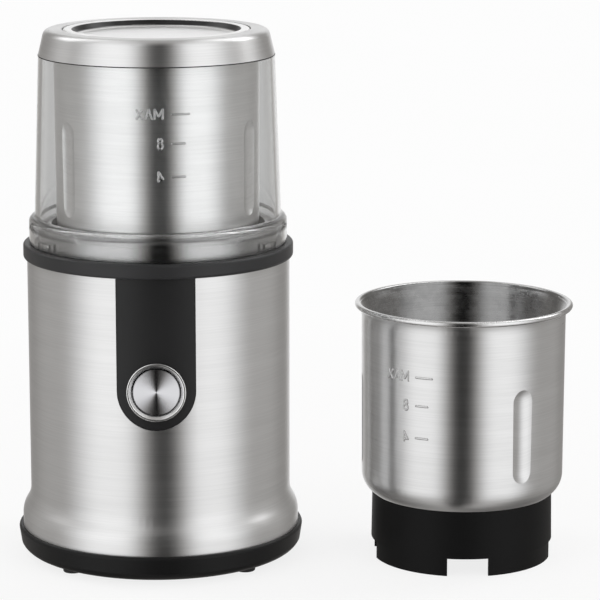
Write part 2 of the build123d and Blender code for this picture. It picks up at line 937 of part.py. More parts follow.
def make_bracket(plate_foot, bearing_foot, cross_arm):
    """A bar across the motor with a bearing seat in its middle."""
    boss_foot = bearing_foot - bracket_lip
    plate_top = plate_foot + bracket_wall
    with BuildPart() as bracket:
        with BuildSketch(Plane.XY.offset(plate_foot)):
            Rectangle(bracket_length, bracket_width)
            if cross_arm:
                Rectangle(bracket_width, cross_arm)
            with Locations(*bolt_spots):
                Circle(bolt_radius + seat_gap, mode=Mode.SUBTRACT)
        extrude(amount=bracket_wall)
        with BuildSketch(Plane.XY.offset(boss_foot)):
            Circle(bracket_boss_radius)
        extrude(amount=plate_top - boss_foot)
        with BuildSketch(Plane.XY.offset(bearing_foot)):
            Circle(bearing_radius + seat_gap)
        extrude(amount=plate_top - bearing_foot, mode=Mode.SUBTRACT)
        with BuildSketch(Plane.XY.offset(boss_foot)):
            Circle(bracket_lip_hole_radius)
        extrude(amount=bracket_lip, mode=Mode.SUBTRACT)
    return bracket


def make_bearing(foot):
    """A plain bearing round the motor's shaft."""
    with BuildPart() as bearing:
        with BuildSketch(Plane.XY.offset(foot)):
            Circle(bearing_radius)
            Circle(shaft_radius + running_gap, mode=Mode.SUBTRACT)
        extrude(amount=bearing_height)
    return bearing


write(make_bracket(lower_bracket_height, lower_bearing_foot, brush_arm_length), "lower_bracket")
write(make_bracket(upper_bracket_height, upper_bearing_foot, 0), "upper_bracket")
write(make_bearing(lower_bearing_foot), "lower_bearing")
write(make_bearing(upper_bearing_foot), "upper_bearing")

motor_bolts = make_screws(
    bolt_spots,
    lower_bracket_height - bolt_head_height,
    bolt_head_radius,
    bolt_head_height,
    bolt_radius,
    shelf_top + bolt_boss_height - lower_bracket_height,
)
write(motor_bolts, "motor_bolts")

# Stator: a stack with two poles, front and back, and open slots at the sides for the field coils
with BuildPart() as motor_stator:
    with BuildSketch(Plane.XY.offset(stator_foot)):
        RectangleRounded(stator_width, stator_depth, stator_corner)
        Circle(stator_bore_radius, mode=Mode.SUBTRACT)
        with Locations(*bolt_spots):
            Circle(bolt_radius + seat_gap, mode=Mode.SUBTRACT)
    extrude(amount=stator_height)
    with BuildSketch(Plane.XY.offset(stator_foot)):
        draw_sectors(stator_bore_radius - overrun, stator_slot_radius, stator_slot_span, (0, 180))
    extrude(amount=stator_height, mode=Mode.SUBTRACT)
write(motor_stator, "motor_stator")

with BuildPart() as field_coils:
    with BuildSketch(Plane.XY.offset(stator_foot - coil_end_height)):
        draw_sectors(coil_inner_radius, coil_outer_radius, coil_span, (90, -90))
    extrude(amount=stator_height + 2 * coil_end_height)
    with BuildSketch(Plane.XY.offset(stator_foot - slide_gap)):
        draw_sectors(
            coil_inner_radius - overrun, coil_outer_radius + overrun, coil_pole_span, (90, -90)
        )
    extrude(amount=stator_height + 2 * slide_gap, mode=Mode.SUBTRACT)
write(field_coils, "field_coils")

with BuildPart() as brush_holders:
    with BuildSketch(Plane.XY.offset(lower_bracket_top)):
        with GridLocations(0, 2 * holder_inner_reach + holder_length, 1, 2):
            Rectangle(holder_width, holder_length)
    extrude(amount=holder_height)
    with BuildSketch(Plane.XZ):
        with Locations((0, commutator_foot + commutator_height / 2)):
            Rectangle(brush_width + 2 * seat_gap, brush_height + 2 * seat_gap)
    extrude(amount=bracket_length, both=True, mode=Mode.SUBTRACT)
write(brush_holders, "brush_holders")

with BuildPart() as carbon_brushes:
    with BuildSketch(Plane.XY.offset(commutator_foot + (commutator_height - brush_height) / 2)):
        with GridLocations(0, 2 * (commutator_radius + brush_gap) + brush_length, 1, 2):
            Rectangle(brush_width, brush_length)
    extrude(amount=brush_height)
write(carbon_brushes, "carbon_brushes")

# Rotor: everything that turns with the motor's shaft
with BuildPart() as motor_shaft:
    with BuildSketch(Plane.XY.offset(shaft_foot)):
        Circle(shaft_radius)
    extrude(amount=drive_disc_top - shaft_foot)
write(motor_shaft, "motor_shaft")

with BuildPart() as armature_core:
    with BuildSketch(Plane.XY.offset(stator_foot)):
        Circle(armature_radius)
        with PolarLocations(armature_radius, armature_slots):
            Rectangle(2 * armature_slot_depth, armature_slot_width, mode=Mode.SUBTRACT)
        Circle(shaft_radius + seat_gap, mode=Mode.SUBTRACT)
    extrude(amount=stator_height)
write(armature_core, "armature_core")

winding_radius = armature_radius - (armature_slot_depth - winding_bar_depth) / 2
with BuildPart() as armature_winding:
    with BuildSketch(Plane.XY.offset(stator_foot)):
        with PolarLocations(winding_radius - winding_bar_depth / 2, armature_slots):
            Rectangle(winding_bar_depth, winding_bar_width)
    extrude(amount=stator_height)
    with BuildSketch(Plane.XY.offset(stator_foot - winding_end_height)):
        Circle(winding_radius)
        Circle(winding_inner_radius, mode=Mode.SUBTRACT)
    extrude(amount=winding_end_height)
    with BuildSketch(Plane.XY.offset(stator_top)):
        Circle(winding_radius)
        Circle(winding_inner_radius, mode=Mode.SUBTRACT)
    extrude(amount=winding_end_height)
write(armature_winding, "armature_winding")

with BuildPart() as commutator:
    with BuildSketch(Plane.XY.offset(commutator_foot)):
        Circle(commutator_radius)
        with PolarLocations(commutator_radius, commutator_bars):
            Rectangle(2 * commutator_groove, commutator_groove, mode=Mode.SUBTRACT)
        Circle(shaft_radius + seat_gap, mode=Mode.SUBTRACT)
    extrude(amount=commutator_height)
write(commutator, "commutator")

with BuildPart() as cooling_fan:
    with BuildSketch(Plane.XY.offset(fan_foot)):
        Circle(fan_radius)
    extrude(amount=fan_disc)
    with BuildSketch(Plane.XY.offset(fan_foot)):
        Circle(fan_hub_radius)
        with PolarLocations((fan_blade_root + fan_blade_tip) / 2, fan_blade_count):
            Rectangle(fan_blade_tip - fan_blade_root, fan_blade_wall)
    extrude(amount=fan_height)
    with BuildSketch(Plane.XY.offset(fan_foot)):
        Circle(shaft_radius + seat_gap)
    extrude(amount=fan_height, mode=Mode.SUBTRACT)
write(cooling_fan, "cooling_fan")


def dog_angles(start_angle):
    """The middles of a coupling's dogs."""
    return [start_angle + 360 * i / dog_count for i in range(dog_count)]


with BuildPart() as drive_coupling:
    with BuildSketch(Plane.XY.offset(drive_disc_foot)):
        Circle(coupling_radius)
    extrude(amount=coupling_disc)
    with BuildSketch(Plane.XY.offset(drive_disc_top)):
        draw_sectors(
            dog_inner_radius, coupling_radius, dog_span, dog_angles(cup_turn + 180 / dog_count)
        )
    extrude(amount=dog_height)
    with BuildSketch(Plane.XY.offset(drive_disc_foot)):
        Circle(shaft_radius + seat_gap)
    extrude(amount=coupling_disc, mode=Mode.SUBTRACT)
write(drive_coupling, "drive_coupling")

# Circuit board in the base plate's posts, with its suppression capacitor
board_foot = base_floor_top + board_lift
with BuildPart() as circuit_board:
    with BuildSketch(Plane.XY.offset(board_foot)):
        with Locations((0, board_reach)):
            Rectangle(board_width, board_wall)
    extrude(amount=board_height)
write(circuit_board, "circuit_board")

with BuildPart() as suppressor_capacitor:
    with BuildSketch(Plane.XY.offset(board_foot + capacitor_lift)):
        with Locations((0, board_reach - board_wall / 2 - capacitor_depth / 2)):
            Rectangle(capacitor_width, capacitor_depth)
    extrude(amount=capacitor_height)
write(suppressor_capacitor, "suppressor_capacitor")

# Gland: a flange outside the sleeve, a lock ring inside the housing and a bore for the cord
gland_axis = Axis((0, 0, gland_height), (0, 1, 0))
with BuildPart() as cord_grommet:
    with BuildSketch(Plane.XY.offset(gland_height)):
        with BuildLine():
            FilletPolyline(
                (gland_bore_radius, gland_back),
                (gland_lock_radius, gland_back),
                (gland_lock_radius, gland_lock_face),
                (gland_radius, gland_lock_face),
                (gland_radius, gland_face),
                (gland_flange_radius, gland_face),
                (gland_flange_radius, gland_face + gland_flange_wall),
                (gland_bore_radius, gland_face + gland_flange_wall),
                radius=[0] * 6 + [gland_flange_round, 0],
                close=True,
            )
        make_face()
    revolve(axis=gland_axis)
write(cord_grommet, "cord_grommet")


def draw_bowl_side(inset):
    """One side of the bowl's section from the axis to the rim, set in from the outside."""
    corner_radius = bowl_corner - inset
    floor = Line((0, bowl_foot + inset), (bowl_low_radius - bowl_corner, bowl_foot + inset))
    corner = JernArc(floor @ 1, (1, 0), corner_radius, 90)
    wall = Line(corner @ 1, (bowl_radius - inset, rim_height - neck_height))
    lap = bead_lap_share * bead_radius
    neck = TangentArc(wall @ 1, (bead_circle - lap - inset, rim_height), tangent=(0, 1))
    return floor @ 0, neck @ 1


def make_bowl_body(inset, flute_radius):
    """The solid inside one side of the bowl, dented by the flutes."""
    with BuildPart() as body:
        with BuildSketch(Plane.XZ):
            with BuildLine():
                floor_middle, neck_top = draw_bowl_side(inset)
                Polyline(neck_top, (0, rim_height), floor_middle)
            make_face()
        revolve(axis=Axis.Z)
        flute_circle = bowl_radius - flute_depth + flute_bend
        with BuildSketch(Plane.XY.offset(flute_foot)):
            with PolarLocations(flute_circle, flute_count, flute_angle):
                Circle(flute_radius)
        extrude(amount=flute_length, mode=Mode.SUBTRACT)
        ends = [(*spot, z) for spot in ring_spots(flute_circle, flute_count, flute_angle)
                for z in (flute_foot, flute_foot + flute_length)]
        with Locations(*ends):
            Sphere(flute_radius, mode=Mode.SUBTRACT)
    return body.part


def make_bowl():
    """A drawn steel bowl with pressed-in flutes, a rolled rim and a hole for the bush."""
    outside = make_bowl_body(0, flute_bend)
    inside = make_bowl_body(bowl_wall, flute_bend + bowl_wall)
    with BuildPart() as bowl:
        add(outside)
        add(inside, mode=Mode.SUBTRACT)
        with BuildSketch(Plane.XZ):
            with Locations((bead_circle, rim_height)):
                Circle(bead_radius)
        revolve(axis=Axis.Z)
        with BuildSketch(Plane.XY.offset(bowl_foot)):
            Circle(bush_radius + seat_gap)
        extrude(amount=bowl_wall, mode=Mode.SUBTRACT)
    return bowl


def make_cup_base():
    """The cup's black base: a notched skirt and a web under the bowl with a hub for the bush."""
    skirt_inner_radius = cup_base_foot_radius - cup_base_wall
    with BuildPart() as base:
        with BuildSketch(Plane.XZ):
            with BuildLine():
                Polyline(
                    (skirt_inner_radius, 0),
                    (cup_base_foot_radius, 0),
                    (cup_base_foot_radius, cup_base_step_height),
                    (cup_base_wide_radius, cup_base_step_height),
                    (cup_base_top_radius, bowl_foot + bowl_corner / 2),
                    (bush_radius + seat_gap, bowl_foot + bowl_corner / 2),
                    (bush_radius + seat_gap, hub_foot),
                    (hub_radius, hub_foot),
                    (hub_radius, bowl_foot - web_wall),
                    (skirt_inner_radius, bowl_foot - web_wall),
                    close=True,
                )
            make_face()
        revolve(axis=Axis.Z)
        with BuildSketch(Plane.XZ):
            with BuildLine():
                floor_middle, neck_top = draw_bowl_side(-seat_gap)
                Polyline(neck_top, (0, rim_height), floor_middle)
            make_face()
        revolve(axis=Axis.Z, mode=Mode.SUBTRACT)
        with BuildSketch():
            with PolarLocations(cup_base_foot_radius - cup_base_wall / 2, notch_count, front_angle):
                Rectangle(2 * cup_base_wall, notch_width)
        extrude(amount=cup_base_step_height, mode=Mode.SUBTRACT)
    return base


def make_bush():
    """The flanged bush that clamps the bowl to its base and carries the blade's shaft."""
    with BuildPart() as bush:
        with BuildSketch(Plane.XZ):
            with BuildLine():
                Polyline(
                    (shaft_radius + running_gap, bush_foot),
                    (bush_radius, bush_foot),
                    (bush_radius, bowl_floor),
                    (bush_flange_radius, bowl_floor),
                    (bush_flange_radius, bush_top),
                    (shaft_radius + running_gap, bush_top),
                    close=True,
                )
            make_face()
        revolve(axis=Axis.Z)
    return bush


def make_cup_nut():
    """The flat nut under the hub."""
    with BuildPart() as nut:
        with BuildSketch(Plane.XY.offset(hub_foot - cup_nut_height)):
            RegularPolygon(cup_nut_width / 2, 6, major_radius=False)
            Circle(bush_radius + seat_gap, mode=Mode.SUBTRACT)
        extrude(amount=cup_nut_height)
    return nut


def make_seal():
    """The rubber ring on the bush's flange, round the blade's shaft."""
    with BuildPart() as seal:
        with BuildSketch(Plane.XY.offset(bush_top)):
            Circle(seal_radius)
            Circle(shaft_radius + slide_gap, mode=Mode.SUBTRACT)
        extrude(amount=seal_height)
    return seal


def make_blade_shaft():
    """The blade's shaft, with the collar that the blade is clamped on."""
    with BuildPart() as shaft:
        with BuildSketch(Plane.XY.offset(driven_disc_foot)):
            Circle(shaft_radius)
        extrude(amount=blade_top + blade_nut_height - driven_disc_foot)
        with BuildSketch(Plane.XY.offset(blade_collar_foot)):
            Circle(blade_collar_radius)
        extrude(amount=blade_collar_height)
    return shaft


def make_blade(wings):
    """A flat hub with this many pitched wings."""
    with BuildPart() as blade:
        with BuildSketch(Plane.XY.offset(blade_foot)):
            Circle(blade_hub_radius)
        extrude(amount=blade_wall)
        for i in range(wings):
            turn = radians(360 * i / wings)
            lean = radians(blade_pitch)
            wing_plane = Plane(
                origin=(0, 0, blade_foot),
                x_dir=(cos(turn), sin(turn), 0),
                z_dir=(-sin(turn) * sin(lean), cos(turn) * sin(lean), cos(lean)),
            )
            with BuildSketch(wing_plane):
                with BuildLine():
                    FilletPolyline(
                        (blade_root_reach, -blade_root_width / 2),
                        (blade_radius, -blade_tip_width / 2),
                        (blade_radius, blade_tip_width / 2),
                        (blade_root_reach, blade_root_width / 2),
                        radius=[0, blade_tip_round, blade_tip_round, 0],
                        close=True,
                    )
                make_face()
            extrude(amount=blade_wall)
        with BuildSketch(Plane.XY.offset(blade_foot)):
            Circle(shaft_radius + seat_gap)
        extrude(amount=blade_wall, mode=Mode.SUBTRACT)
    return blade


def make_blade_nut():
    """The domed nut on top of the blade."""
    with BuildPart() as nut:
        with BuildSketch(Plane.XY.offset(blade_top)):
            RegularPolygon(blade_nut_width / 2, 6, major_radius=False)
        extrude(amount=blade_nut_height)
        with BuildSketch(Plane.XY.offset(blade_top + blade_nut_height)):
            Circle(blade_nut_width / 2)
        extrude(amount=blade_nut_dome)
        fillet(nut.edges().group_by(Axis.Z)[-1], blade_nut_dome - seat_gap)
        with BuildSketch(Plane.XY.offset(blade_top)):
            Circle(shaft_radius + seat_gap)
        extrude(amount=blade_nut_height + seat_gap, mode=Mode.SUBTRACT)
    return nut


def make_driven_coupling():
    """The lower end of the blade's shaft: a disc with dogs that stand between the motor's."""
    with BuildPart() as coupling:
        with BuildSketch(Plane.XY.offset(driven_disc_foot)):
            Circle(coupling_radius)
        extrude(amount=coupling_disc)
        with BuildSketch(Plane.XY.offset(dog_foot)):
            draw_sectors(dog_inner_radius, coupling_radius, dog_span, dog_angles(0))
        extrude(amount=dog_height)
        with BuildSketch(Plane.XY.offset(driven_disc_foot)):
            Circle(shaft_radius + seat_gap)
        extrude(amount=coupling_disc, mode=Mode.SUBTRACT)
    return coupling


# The fitted cup and the second cup differ only in their blades
for name, place, wings in (("", cup_place, fitted_wings), ("spare_", spare_place, spare_wings)):
    cup_name = name or "cup_"
    write(make_bowl(), cup_name + "bowl", place)
    write(make_cup_base(), cup_name + "base", place)
    write(make_bush(), cup_name + "bush", place)
    write(make_cup_nut(), cup_name + "nut", place)
    write(make_seal(), cup_name + "seal", place)
    write(make_blade_shaft(), name + "blade_shaft", place)
    write(make_blade(wings), name + "blade", place)
    write(make_blade_nut(), name + "blade_nut", place)
    write(make_driven_coupling(), name + "driven_coupling", place)

# Lid: a clear shell with a flange over the trim, lugs that centre it and a tab for the interlock
lug_angles = [front_angle + side * step * lid_lug_spread for side in (1, -1) for step in (1, 2)]
with BuildPart() as lid_shell:
    with BuildSketch(Plane.XZ):
        with BuildLine():
            FilletPolyline(
                (lid_flange_inner, deck_top),
                (lid_radius, deck_top),
                (lid_radius, flange_top),
                (lid_waist_radius, flange_top),
                (lid_neck_radius, seam_height),
                (lid_neck_radius - cap_inset, seam_height),
                (cap_top_radius - cap_inset, shell_top),
                (dish_seat_radius, shell_top),
                (dish_seat_radius, dish_seat),
                (0, dish_seat),
                (0, dish_seat - lid_top_wall),
                (dish_seat_radius + lid_top_wall, dish_seat - lid_top_wall),
                (dish_seat_radius + lid_top_wall, shell_top - lid_top_wall),
                (cap_top_radius - cap_inset - lid_neck_wall, shell_top - lid_top_wall),
                (lid_neck_radius - cap_inset - lid_neck_wall, seam_height),
                (lid_waist_radius - lid_flange_wall, flange_top - lid_flange_roof),
                (lid_flange_inner, flange_top - lid_flange_roof),
                radius=[0, 0, lid_shoulder_round, lid_waist_round, 0, 0, cap_round - cap_inset] + [0] * 10,
                close=True,
            )
        make_face()
    revolve(axis=Axis.Z)
    lug_depth = lid_flange_inner - tab_inner_radius + lid_flange_wall / 2
    with BuildSketch(Plane.XY.offset(deck_top)):
        for angle in lug_angles:
            with PolarLocations(tab_inner_radius + lug_depth / 2, 1, angle):
                Rectangle(lug_depth, lid_lug_width)
    extrude(amount=lid_lug_height)
    with BuildSketch(Plane.XY.offset(tab_foot)):
        with Locations((0, pin_circle)):
            Rectangle(tab_width, tab_wall)
    extrude(amount=tab_drop + tab_rise)
write(lid_shell, "lid_shell")

with BuildPart() as lid_cap:
    with BuildSketch(Plane.XZ):
        with BuildLine():
            FilletPolyline(
                (lid_neck_radius - cap_wall, seam_height),
                (lid_neck_radius, seam_height),
                (cap_top_radius, lid_top),
                (dish_radius + dish_groove, lid_top),
                (dish_radius + dish_groove, lid_top - cap_wall),
                (cap_top_radius - cap_wall, lid_top - cap_wall),
                radius=[0, 0, cap_round, 0, 0, cap_round - cap_wall],
                close=True,
            )
        make_face()
    revolve(axis=Axis.Z)
write(lid_cap, "lid_cap")

with BuildPart() as lid_dish:
    with BuildSketch(Plane.XZ):
        with BuildLine():
            FilletPolyline(
                (0, dish_foot),
                (dish_radius, dish_foot),
                (dish_radius, lid_top),
                (dish_radius - dish_lip, lid_top),
                (dish_radius - dish_lip - dish_lean, dish_foot + dish_wall),
                (0, dish_foot + dish_wall),
                radius=[0, 0, dish_lip_round, dish_lip_round, dish_cove, 0],
                close=True,
            )
        make_face()
    revolve(axis=Axis.Z)
write(lid_dish, "lid_dish")
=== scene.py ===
"""Looks of an electric coffee grinder and its second cup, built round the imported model.

The steel is brushed round each piece's own upright axis, the button is a spun disc with real grooves,
and both cups carry raised scale marks that read from the inside of the cup.
"""

import math

import bmesh
import bpy
from bpy.props import FloatProperty, FloatVectorProperty, IntProperty, PointerProperty
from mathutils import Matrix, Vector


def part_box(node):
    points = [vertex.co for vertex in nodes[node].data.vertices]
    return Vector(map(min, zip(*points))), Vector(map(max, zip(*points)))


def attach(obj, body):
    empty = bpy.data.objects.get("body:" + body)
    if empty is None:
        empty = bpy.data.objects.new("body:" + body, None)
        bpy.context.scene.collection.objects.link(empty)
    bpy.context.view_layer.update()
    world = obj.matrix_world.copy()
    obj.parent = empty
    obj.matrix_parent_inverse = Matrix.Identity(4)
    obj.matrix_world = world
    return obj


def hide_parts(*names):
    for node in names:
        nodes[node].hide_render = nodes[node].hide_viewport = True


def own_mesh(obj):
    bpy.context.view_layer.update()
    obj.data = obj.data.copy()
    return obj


bl_info = {
    "name": "Coffee Grinder Looks",
    "version": (1, 0, 0),
    "blender": (4, 5, 0),
    "location": "View3D > Sidebar > Grinder",
    "description": "Finishes, small details and studio of a coffee grinder with a second cup",
    "category": "Object",
}

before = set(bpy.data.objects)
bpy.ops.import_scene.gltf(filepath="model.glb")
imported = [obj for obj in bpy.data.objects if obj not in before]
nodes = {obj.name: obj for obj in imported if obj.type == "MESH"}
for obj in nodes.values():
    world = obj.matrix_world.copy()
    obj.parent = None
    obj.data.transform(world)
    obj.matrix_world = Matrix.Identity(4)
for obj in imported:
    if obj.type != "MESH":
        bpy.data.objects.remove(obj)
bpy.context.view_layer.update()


def middle(node):
    """Middle of a CAD node's box."""
    low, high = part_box(node)
    return (low + high) / 2


grinder_axis = middle("steel_sleeve")
spare_axis = middle("spare_bowl")
button_middle = middle("button_cap")
button_low, button_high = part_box("button_cap")
cup_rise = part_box("cup_bowl")[0].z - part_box("spare_bowl")[0].z

# Sizes that come from the solids, in metres
RIM_BEAD = 0.0024  # height of a bowl's rolled rim
WALL_RADIUS = 0.04116  # where the scale marks stand on a bowl's wall
SHOULDER_RISE = 0.011  # from the lid's foot up to the rounded shoulder of its flange

WELD_REACH = 1e-6  # corners nearer than this become one
NEAR_ZERO = 1e-8  # keeps a division finite on the axis itself


class Field:
    """A socket in a node tree that can stand in a Python sum."""

    def __init__(self, tree, socket):
        self.tree = tree
        self.socket = socket

    def math(self, operation, *others):
        """A Math node on this value and the others."""
        return self.tree.math(operation, self, *others)

    def __add__(self, other):
        return self.tree.math("ADD", self, other)

    def __sub__(self, other):
        return self.tree.math("SUBTRACT", self, other)

    def __mul__(self, other):
        return self.tree.math("MULTIPLY", self, other)

    def __truediv__(self, other):
        return self.tree.math("DIVIDE", self, other)

    def __abs__(self):
        return self.tree.math("ABSOLUTE", self)

    __radd__ = __add__
    __rmul__ = __mul__

    def __rsub__(self, other):
        return self.tree.math("SUBTRACT", other, self)

    def __rtruediv__(self, other):
        return self.tree.math("DIVIDE", other, self)

    def sway(self, amount):
        """How far a cloudy value is from one half, times an amount."""
        return (self - 0.5) * amount

    def up_to_one(self):
        """This value, or 1 where it is more."""
        return self.math("MINIMUM", 1.0)


class Outputs:
    """What one added node gives, by the socket's name or place."""

    def __init__(self, tree, made):
        self.tree = tree
        self.made = made

    def __getitem__(self, key):
        return Field(self.tree, self.made.outputs[key])


class Tree:
    """A node tree that is written as Python expressions."""

    def __init__(self, tree):
        self.tree = tree
        tree.nodes.clear()

    def node(self, kind, settings=None, sockets=None):
        """Adds a node, sets it up, and gives its sockets values or links."""
        made = self.tree.nodes.new(kind)
        for key, value in (settings or {}).items():
            setattr(made, key, value)
        for key, value in (sockets or {}).items():
            if isinstance(value, Field):
                self.tree.links.new(value.socket, made.inputs[key])
            else:
                made.inputs[key].default_value = value
        return Outputs(self, made)

    def math(self, operation, *values):
        """A Math node on values and numbers."""
        return self.node("ShaderNodeMath", {"operation": operation}, dict(enumerate(values)))[0]

    def split(self, vector):
        """The three parts of a vector."""
        parts = self.node("ShaderNodeSeparateXYZ", {}, {0: vector})
        return parts[0], parts[1], parts[2]

    def join(self, x, y, z):
        """A vector of three parts."""
        return self.node("ShaderNodeCombineXYZ", {}, {0: x, 1: y, 2: z})[0]

    def distance(self, x, y):
        """How far a place is from an axis."""
        return (x * x + y * y + NEAR_ZERO).math("SQRT")

    def step(self, value, start, end):
        """Rises smoothly from 0 to 1 as a value goes from start to end."""
        kind = {"interpolation_type": "SMOOTHSTEP"}
        return self.node("ShaderNodeMapRange", kind, {0: value, 1: start, 2: end, 3: 0.0, 4: 1.0})[0]

    def band(self, value, rise, fall):
        """1 between a rise and a fall, each given by its start and its end."""
        return self.step(value, *rise) * (1.0 - self.step(value, *fall))

    def crisp(self, cloud):
        """A cloudy value drawn apart towards 0 and 1."""
        return self.step(cloud, 0.3, 0.7)

    def noise(self, vector, scale, detail=2.0):
        """Cloudy values about one half."""
        return self.node("ShaderNodeTexNoise", {}, {"Vector": vector, "Scale": scale, "Detail": detail})[0]

    def tint(self, share, first, second):
        """A colour between two colours."""
        return self.mix(share, (*first, 1.0), (*second, 1.0))

    def mix(self, share, first, second):
        """A colour between two colour sockets or values."""
        return self.node("ShaderNodeMix", {"data_type": "RGBA"}, {0: share, 6: first, 7: second})[2]


class Finish(Tree):
    """A material whose surface is one Principled shader."""

    def __init__(self, name, constants):
        self.material = bpy.data.materials.new(name)
        self.material.use_nodes = True
        super().__init__(self.material.node_tree)
        self.shader = self.node("ShaderNodeBsdfPrincipled", {}, constants)
        self.node("ShaderNodeOutputMaterial", {}, {"Surface": self.shader["BSDF"]})
        self.place = self.node("ShaderNodeTexCoord")["Object"]

    def from_axis(self, axis):
        """Places measured from an upright axis."""
        away = {0: self.place, 1: (axis.x, axis.y, 0.0)}
        return self.split(self.node("ShaderNodeVectorMath", {"operation": "SUBTRACT"}, away)["Vector"])

    def cloud(self, scale, detail=2.0):
        """Cloudy values over the piece, with so many clouds to the metre."""
        return self.noise(self.place, scale, detail)

    def feed(self, socket, value):
        """Links a value to one of the shader's sockets."""
        self.tree.links.new(value.socket, self.shader.made.inputs[socket])

    def relief(self, height, depth, strength):
        """Gives the surface a fine relief."""
        sockets = {"Height": height, "Distance": depth, "Strength": strength}
        self.feed("Normal", self.node("ShaderNodeBump", {}, sockets)["Normal"])


def shade(colour, share):
    """A colour made darker or lighter."""
    return tuple(min(1.0, c * share) for c in colour)


# Brushed steel
ACROSS_THE_LINES = 0.25  # share of a turn that draws highlights out across the brush lines
LINE_BREAKS = 1.6  # how often a brush line breaks off on its way round
BAND_SHARE = 0.09  # broad bands, as a share of the number of brush lines
LINE_WEIGHT, BAND_WEIGHT = 0.65, 0.35  # what lines and bands give to the streaks
SMUDGES = 22.0  # to the metre, as are the swirls
SWIRLS = 260.0  # scratches on the walls inside a bowl
FACING_IN = (0.1, 0.5)  # how far a wall faces the axis where its painted shade starts and is full
RIM_ROUGHNESS = 0.24
RIM_BLEND = 0.0003  # half the height over which the polish sets in
BEAD_BLEND = 0.0006  # height over which the painted inside shade ends on the rolled rim
INSIDE_SHADE_SPREAD = 0.2  # how far the tone of the painted inside shade goes either way over the swirls
INSIDE_SMOOTHING = 0.08  # how much less dull the walls that face the axis are between their swirls


def brushed_steel(name, axis, look, tone, sheen, contrast, brush, polish=None, inside_shade=1.0, facing=FACING_IN):
    """Steel brushed round an upright axis: fine lines that run round it, and soft smudges over them.

    Above the height polish it is bright, and walls that face the axis take the tone given for the inside,
    which paints shade in the hollow where it is below one.
    """
    colour = shade(look.steel_colour, tone)
    roughness = look.steel_roughness - sheen
    finish = Finish(name, {"Metallic": 1.0, "Anisotropic": brush, "Anisotropic Rotation": ACROSS_THE_LINES})
    x, y, z = finish.from_axis(axis)
    reach = finish.distance(x, y)
    along = (z - reach) / look.line_pitch
    fine = finish.join(x / reach * LINE_BREAKS, y / reach * LINE_BREAKS, along)
    broad = finish.join(x / reach, y / reach, along * BAND_SHARE)
    lines = finish.noise(fine, scale=1.0, detail=3.0)
    bands = finish.noise(broad, scale=1.0)
    streak = finish.crisp(lines * LINE_WEIGHT + bands * BAND_WEIGHT)
    hue = finish.tint(streak, shade(colour, 1 - contrast), shade(colour, 1 + contrast))
    dull = roughness + lines.sway(0.12) + finish.cloud(SMUDGES, detail=3.0).sway(0.08)
    if polish:
        normal_x, normal_y, _ = finish.split(finish.node("ShaderNodeNewGeometry")["Normal"])
        inward = (normal_x * x + normal_y * y) / reach * -1.0
        rim_top = polish + RIM_BEAD
        # Painted shade: walls that face the axis, below the rim's top, take the darker tone given for the
        # inside
        shaded_inside = finish.step(inward, *facing) * (1.0 - finish.step(z, rim_top - BEAD_BLEND, rim_top))
        swirl = finish.crisp(finish.cloud(SWIRLS, detail=4.0))
        dark, light = (shade(colour, inside_shade * share) for share in (1 - INSIDE_SHADE_SPREAD, 1 + INSIDE_SHADE_SPREAD))
        hue = finish.mix(shaded_inside, hue, finish.tint(streak * 0.5 + swirl * 0.5, dark, light))
        dull = dull - shaded_inside * (1.0 - swirl) * INSIDE_SMOOTHING
        dull = dull - finish.step(z, polish - RIM_BLEND, polish + RIM_BLEND) * (roughness - RIM_ROUGHNESS)
    finish.feed("Base Color", hue)
    finish.feed("Roughness", dull)
    finish.relief(lines, depth=0.00002, strength=0.12)
    return finish.material


def moulded_plastic(name, colour, roughness, grain, gloss=0.3):
    """Moulded plastic with a fine spark-eroded grain."""
    finish = Finish(name, {"IOR": 1.5, "Specular IOR Level": gloss})
    fine = finish.cloud(1 / grain)
    cloud = finish.cloud(35.0, detail=3.0)
    finish.feed("Base Color", finish.tint(cloud, shade(colour, 0.8), shade(colour, 1.25)))
    finish.feed("Roughness", roughness + fine.sway(0.16) + cloud.sway(0.10))
    finish.relief(fine, depth=0.00004, strength=0.3)
    return finish.material


# Rubber
RUBBER_ROUGHNESS = 0.72
BLOOM_EDGE = (0.45, 0.75)  # share of the clouds where the bloom starts and is full
BLOOM_LIFT = 2.2  # how much paler the bloom is


def soft_rubber(name, colour):
    """Matt rubber with a dusty bloom."""
    finish = Finish(name, {"IOR": 1.45})
    bloom = finish.cloud(180.0, detail=4.0)
    dusty = finish.step(bloom, *BLOOM_EDGE)
    finish.feed("Base Color", finish.tint(dusty, colour, shade(colour, BLOOM_LIFT)))
    finish.feed("Roughness", RUBBER_ROUGHNESS + bloom.sway(0.25))
    finish.relief(finish.cloud(2600.0, detail=3.0), depth=0.00005, strength=0.4)
    return finish.material


# Clear plastic
CLEAN_ROUGHNESS = 0.015
HANDLED_ROUGHNESS = 0.05  # added where it has been handled
HANDLED_EDGE = (0.5, 0.8)  # share of the clouds where the handling marks start and are full
# Where the shoulder starts and stops turning, in metres up from its middle
SHOULDER_START = (-0.0026, -0.0010)
SHOULDER_END = (0.0005, 0.003)
SHOULDER_CLEAR = 0.5  # share of the light that goes straight through the shoulder, unbent, which paints it lighter


def clear_plastic(name, colour, index, shoulder):
    """Clear moulded plastic with faint handling marks. Where its shoulder turns, a share of the light goes
    straight through it unbent, painted light over the dark band that its refraction gives.
    """
    finish = Finish(name, {"Transmission Weight": 1.0, "IOR": index, "Base Color": (*colour, 1.0)})
    handled = finish.step(finish.cloud(240.0, detail=4.0), *HANDLED_EDGE)
    finish.feed("Roughness", handled * HANDLED_ROUGHNESS + CLEAN_ROUGHNESS)
    _, _, z = finish.split(finish.place)
    # Painted light: where the shoulder turns it is partly see-through
    turning = finish.band(z - shoulder, SHOULDER_START, SHOULDER_END)
    finish.feed("Alpha", 1.0 - turning * SHOULDER_CLEAR)
    return finish.material


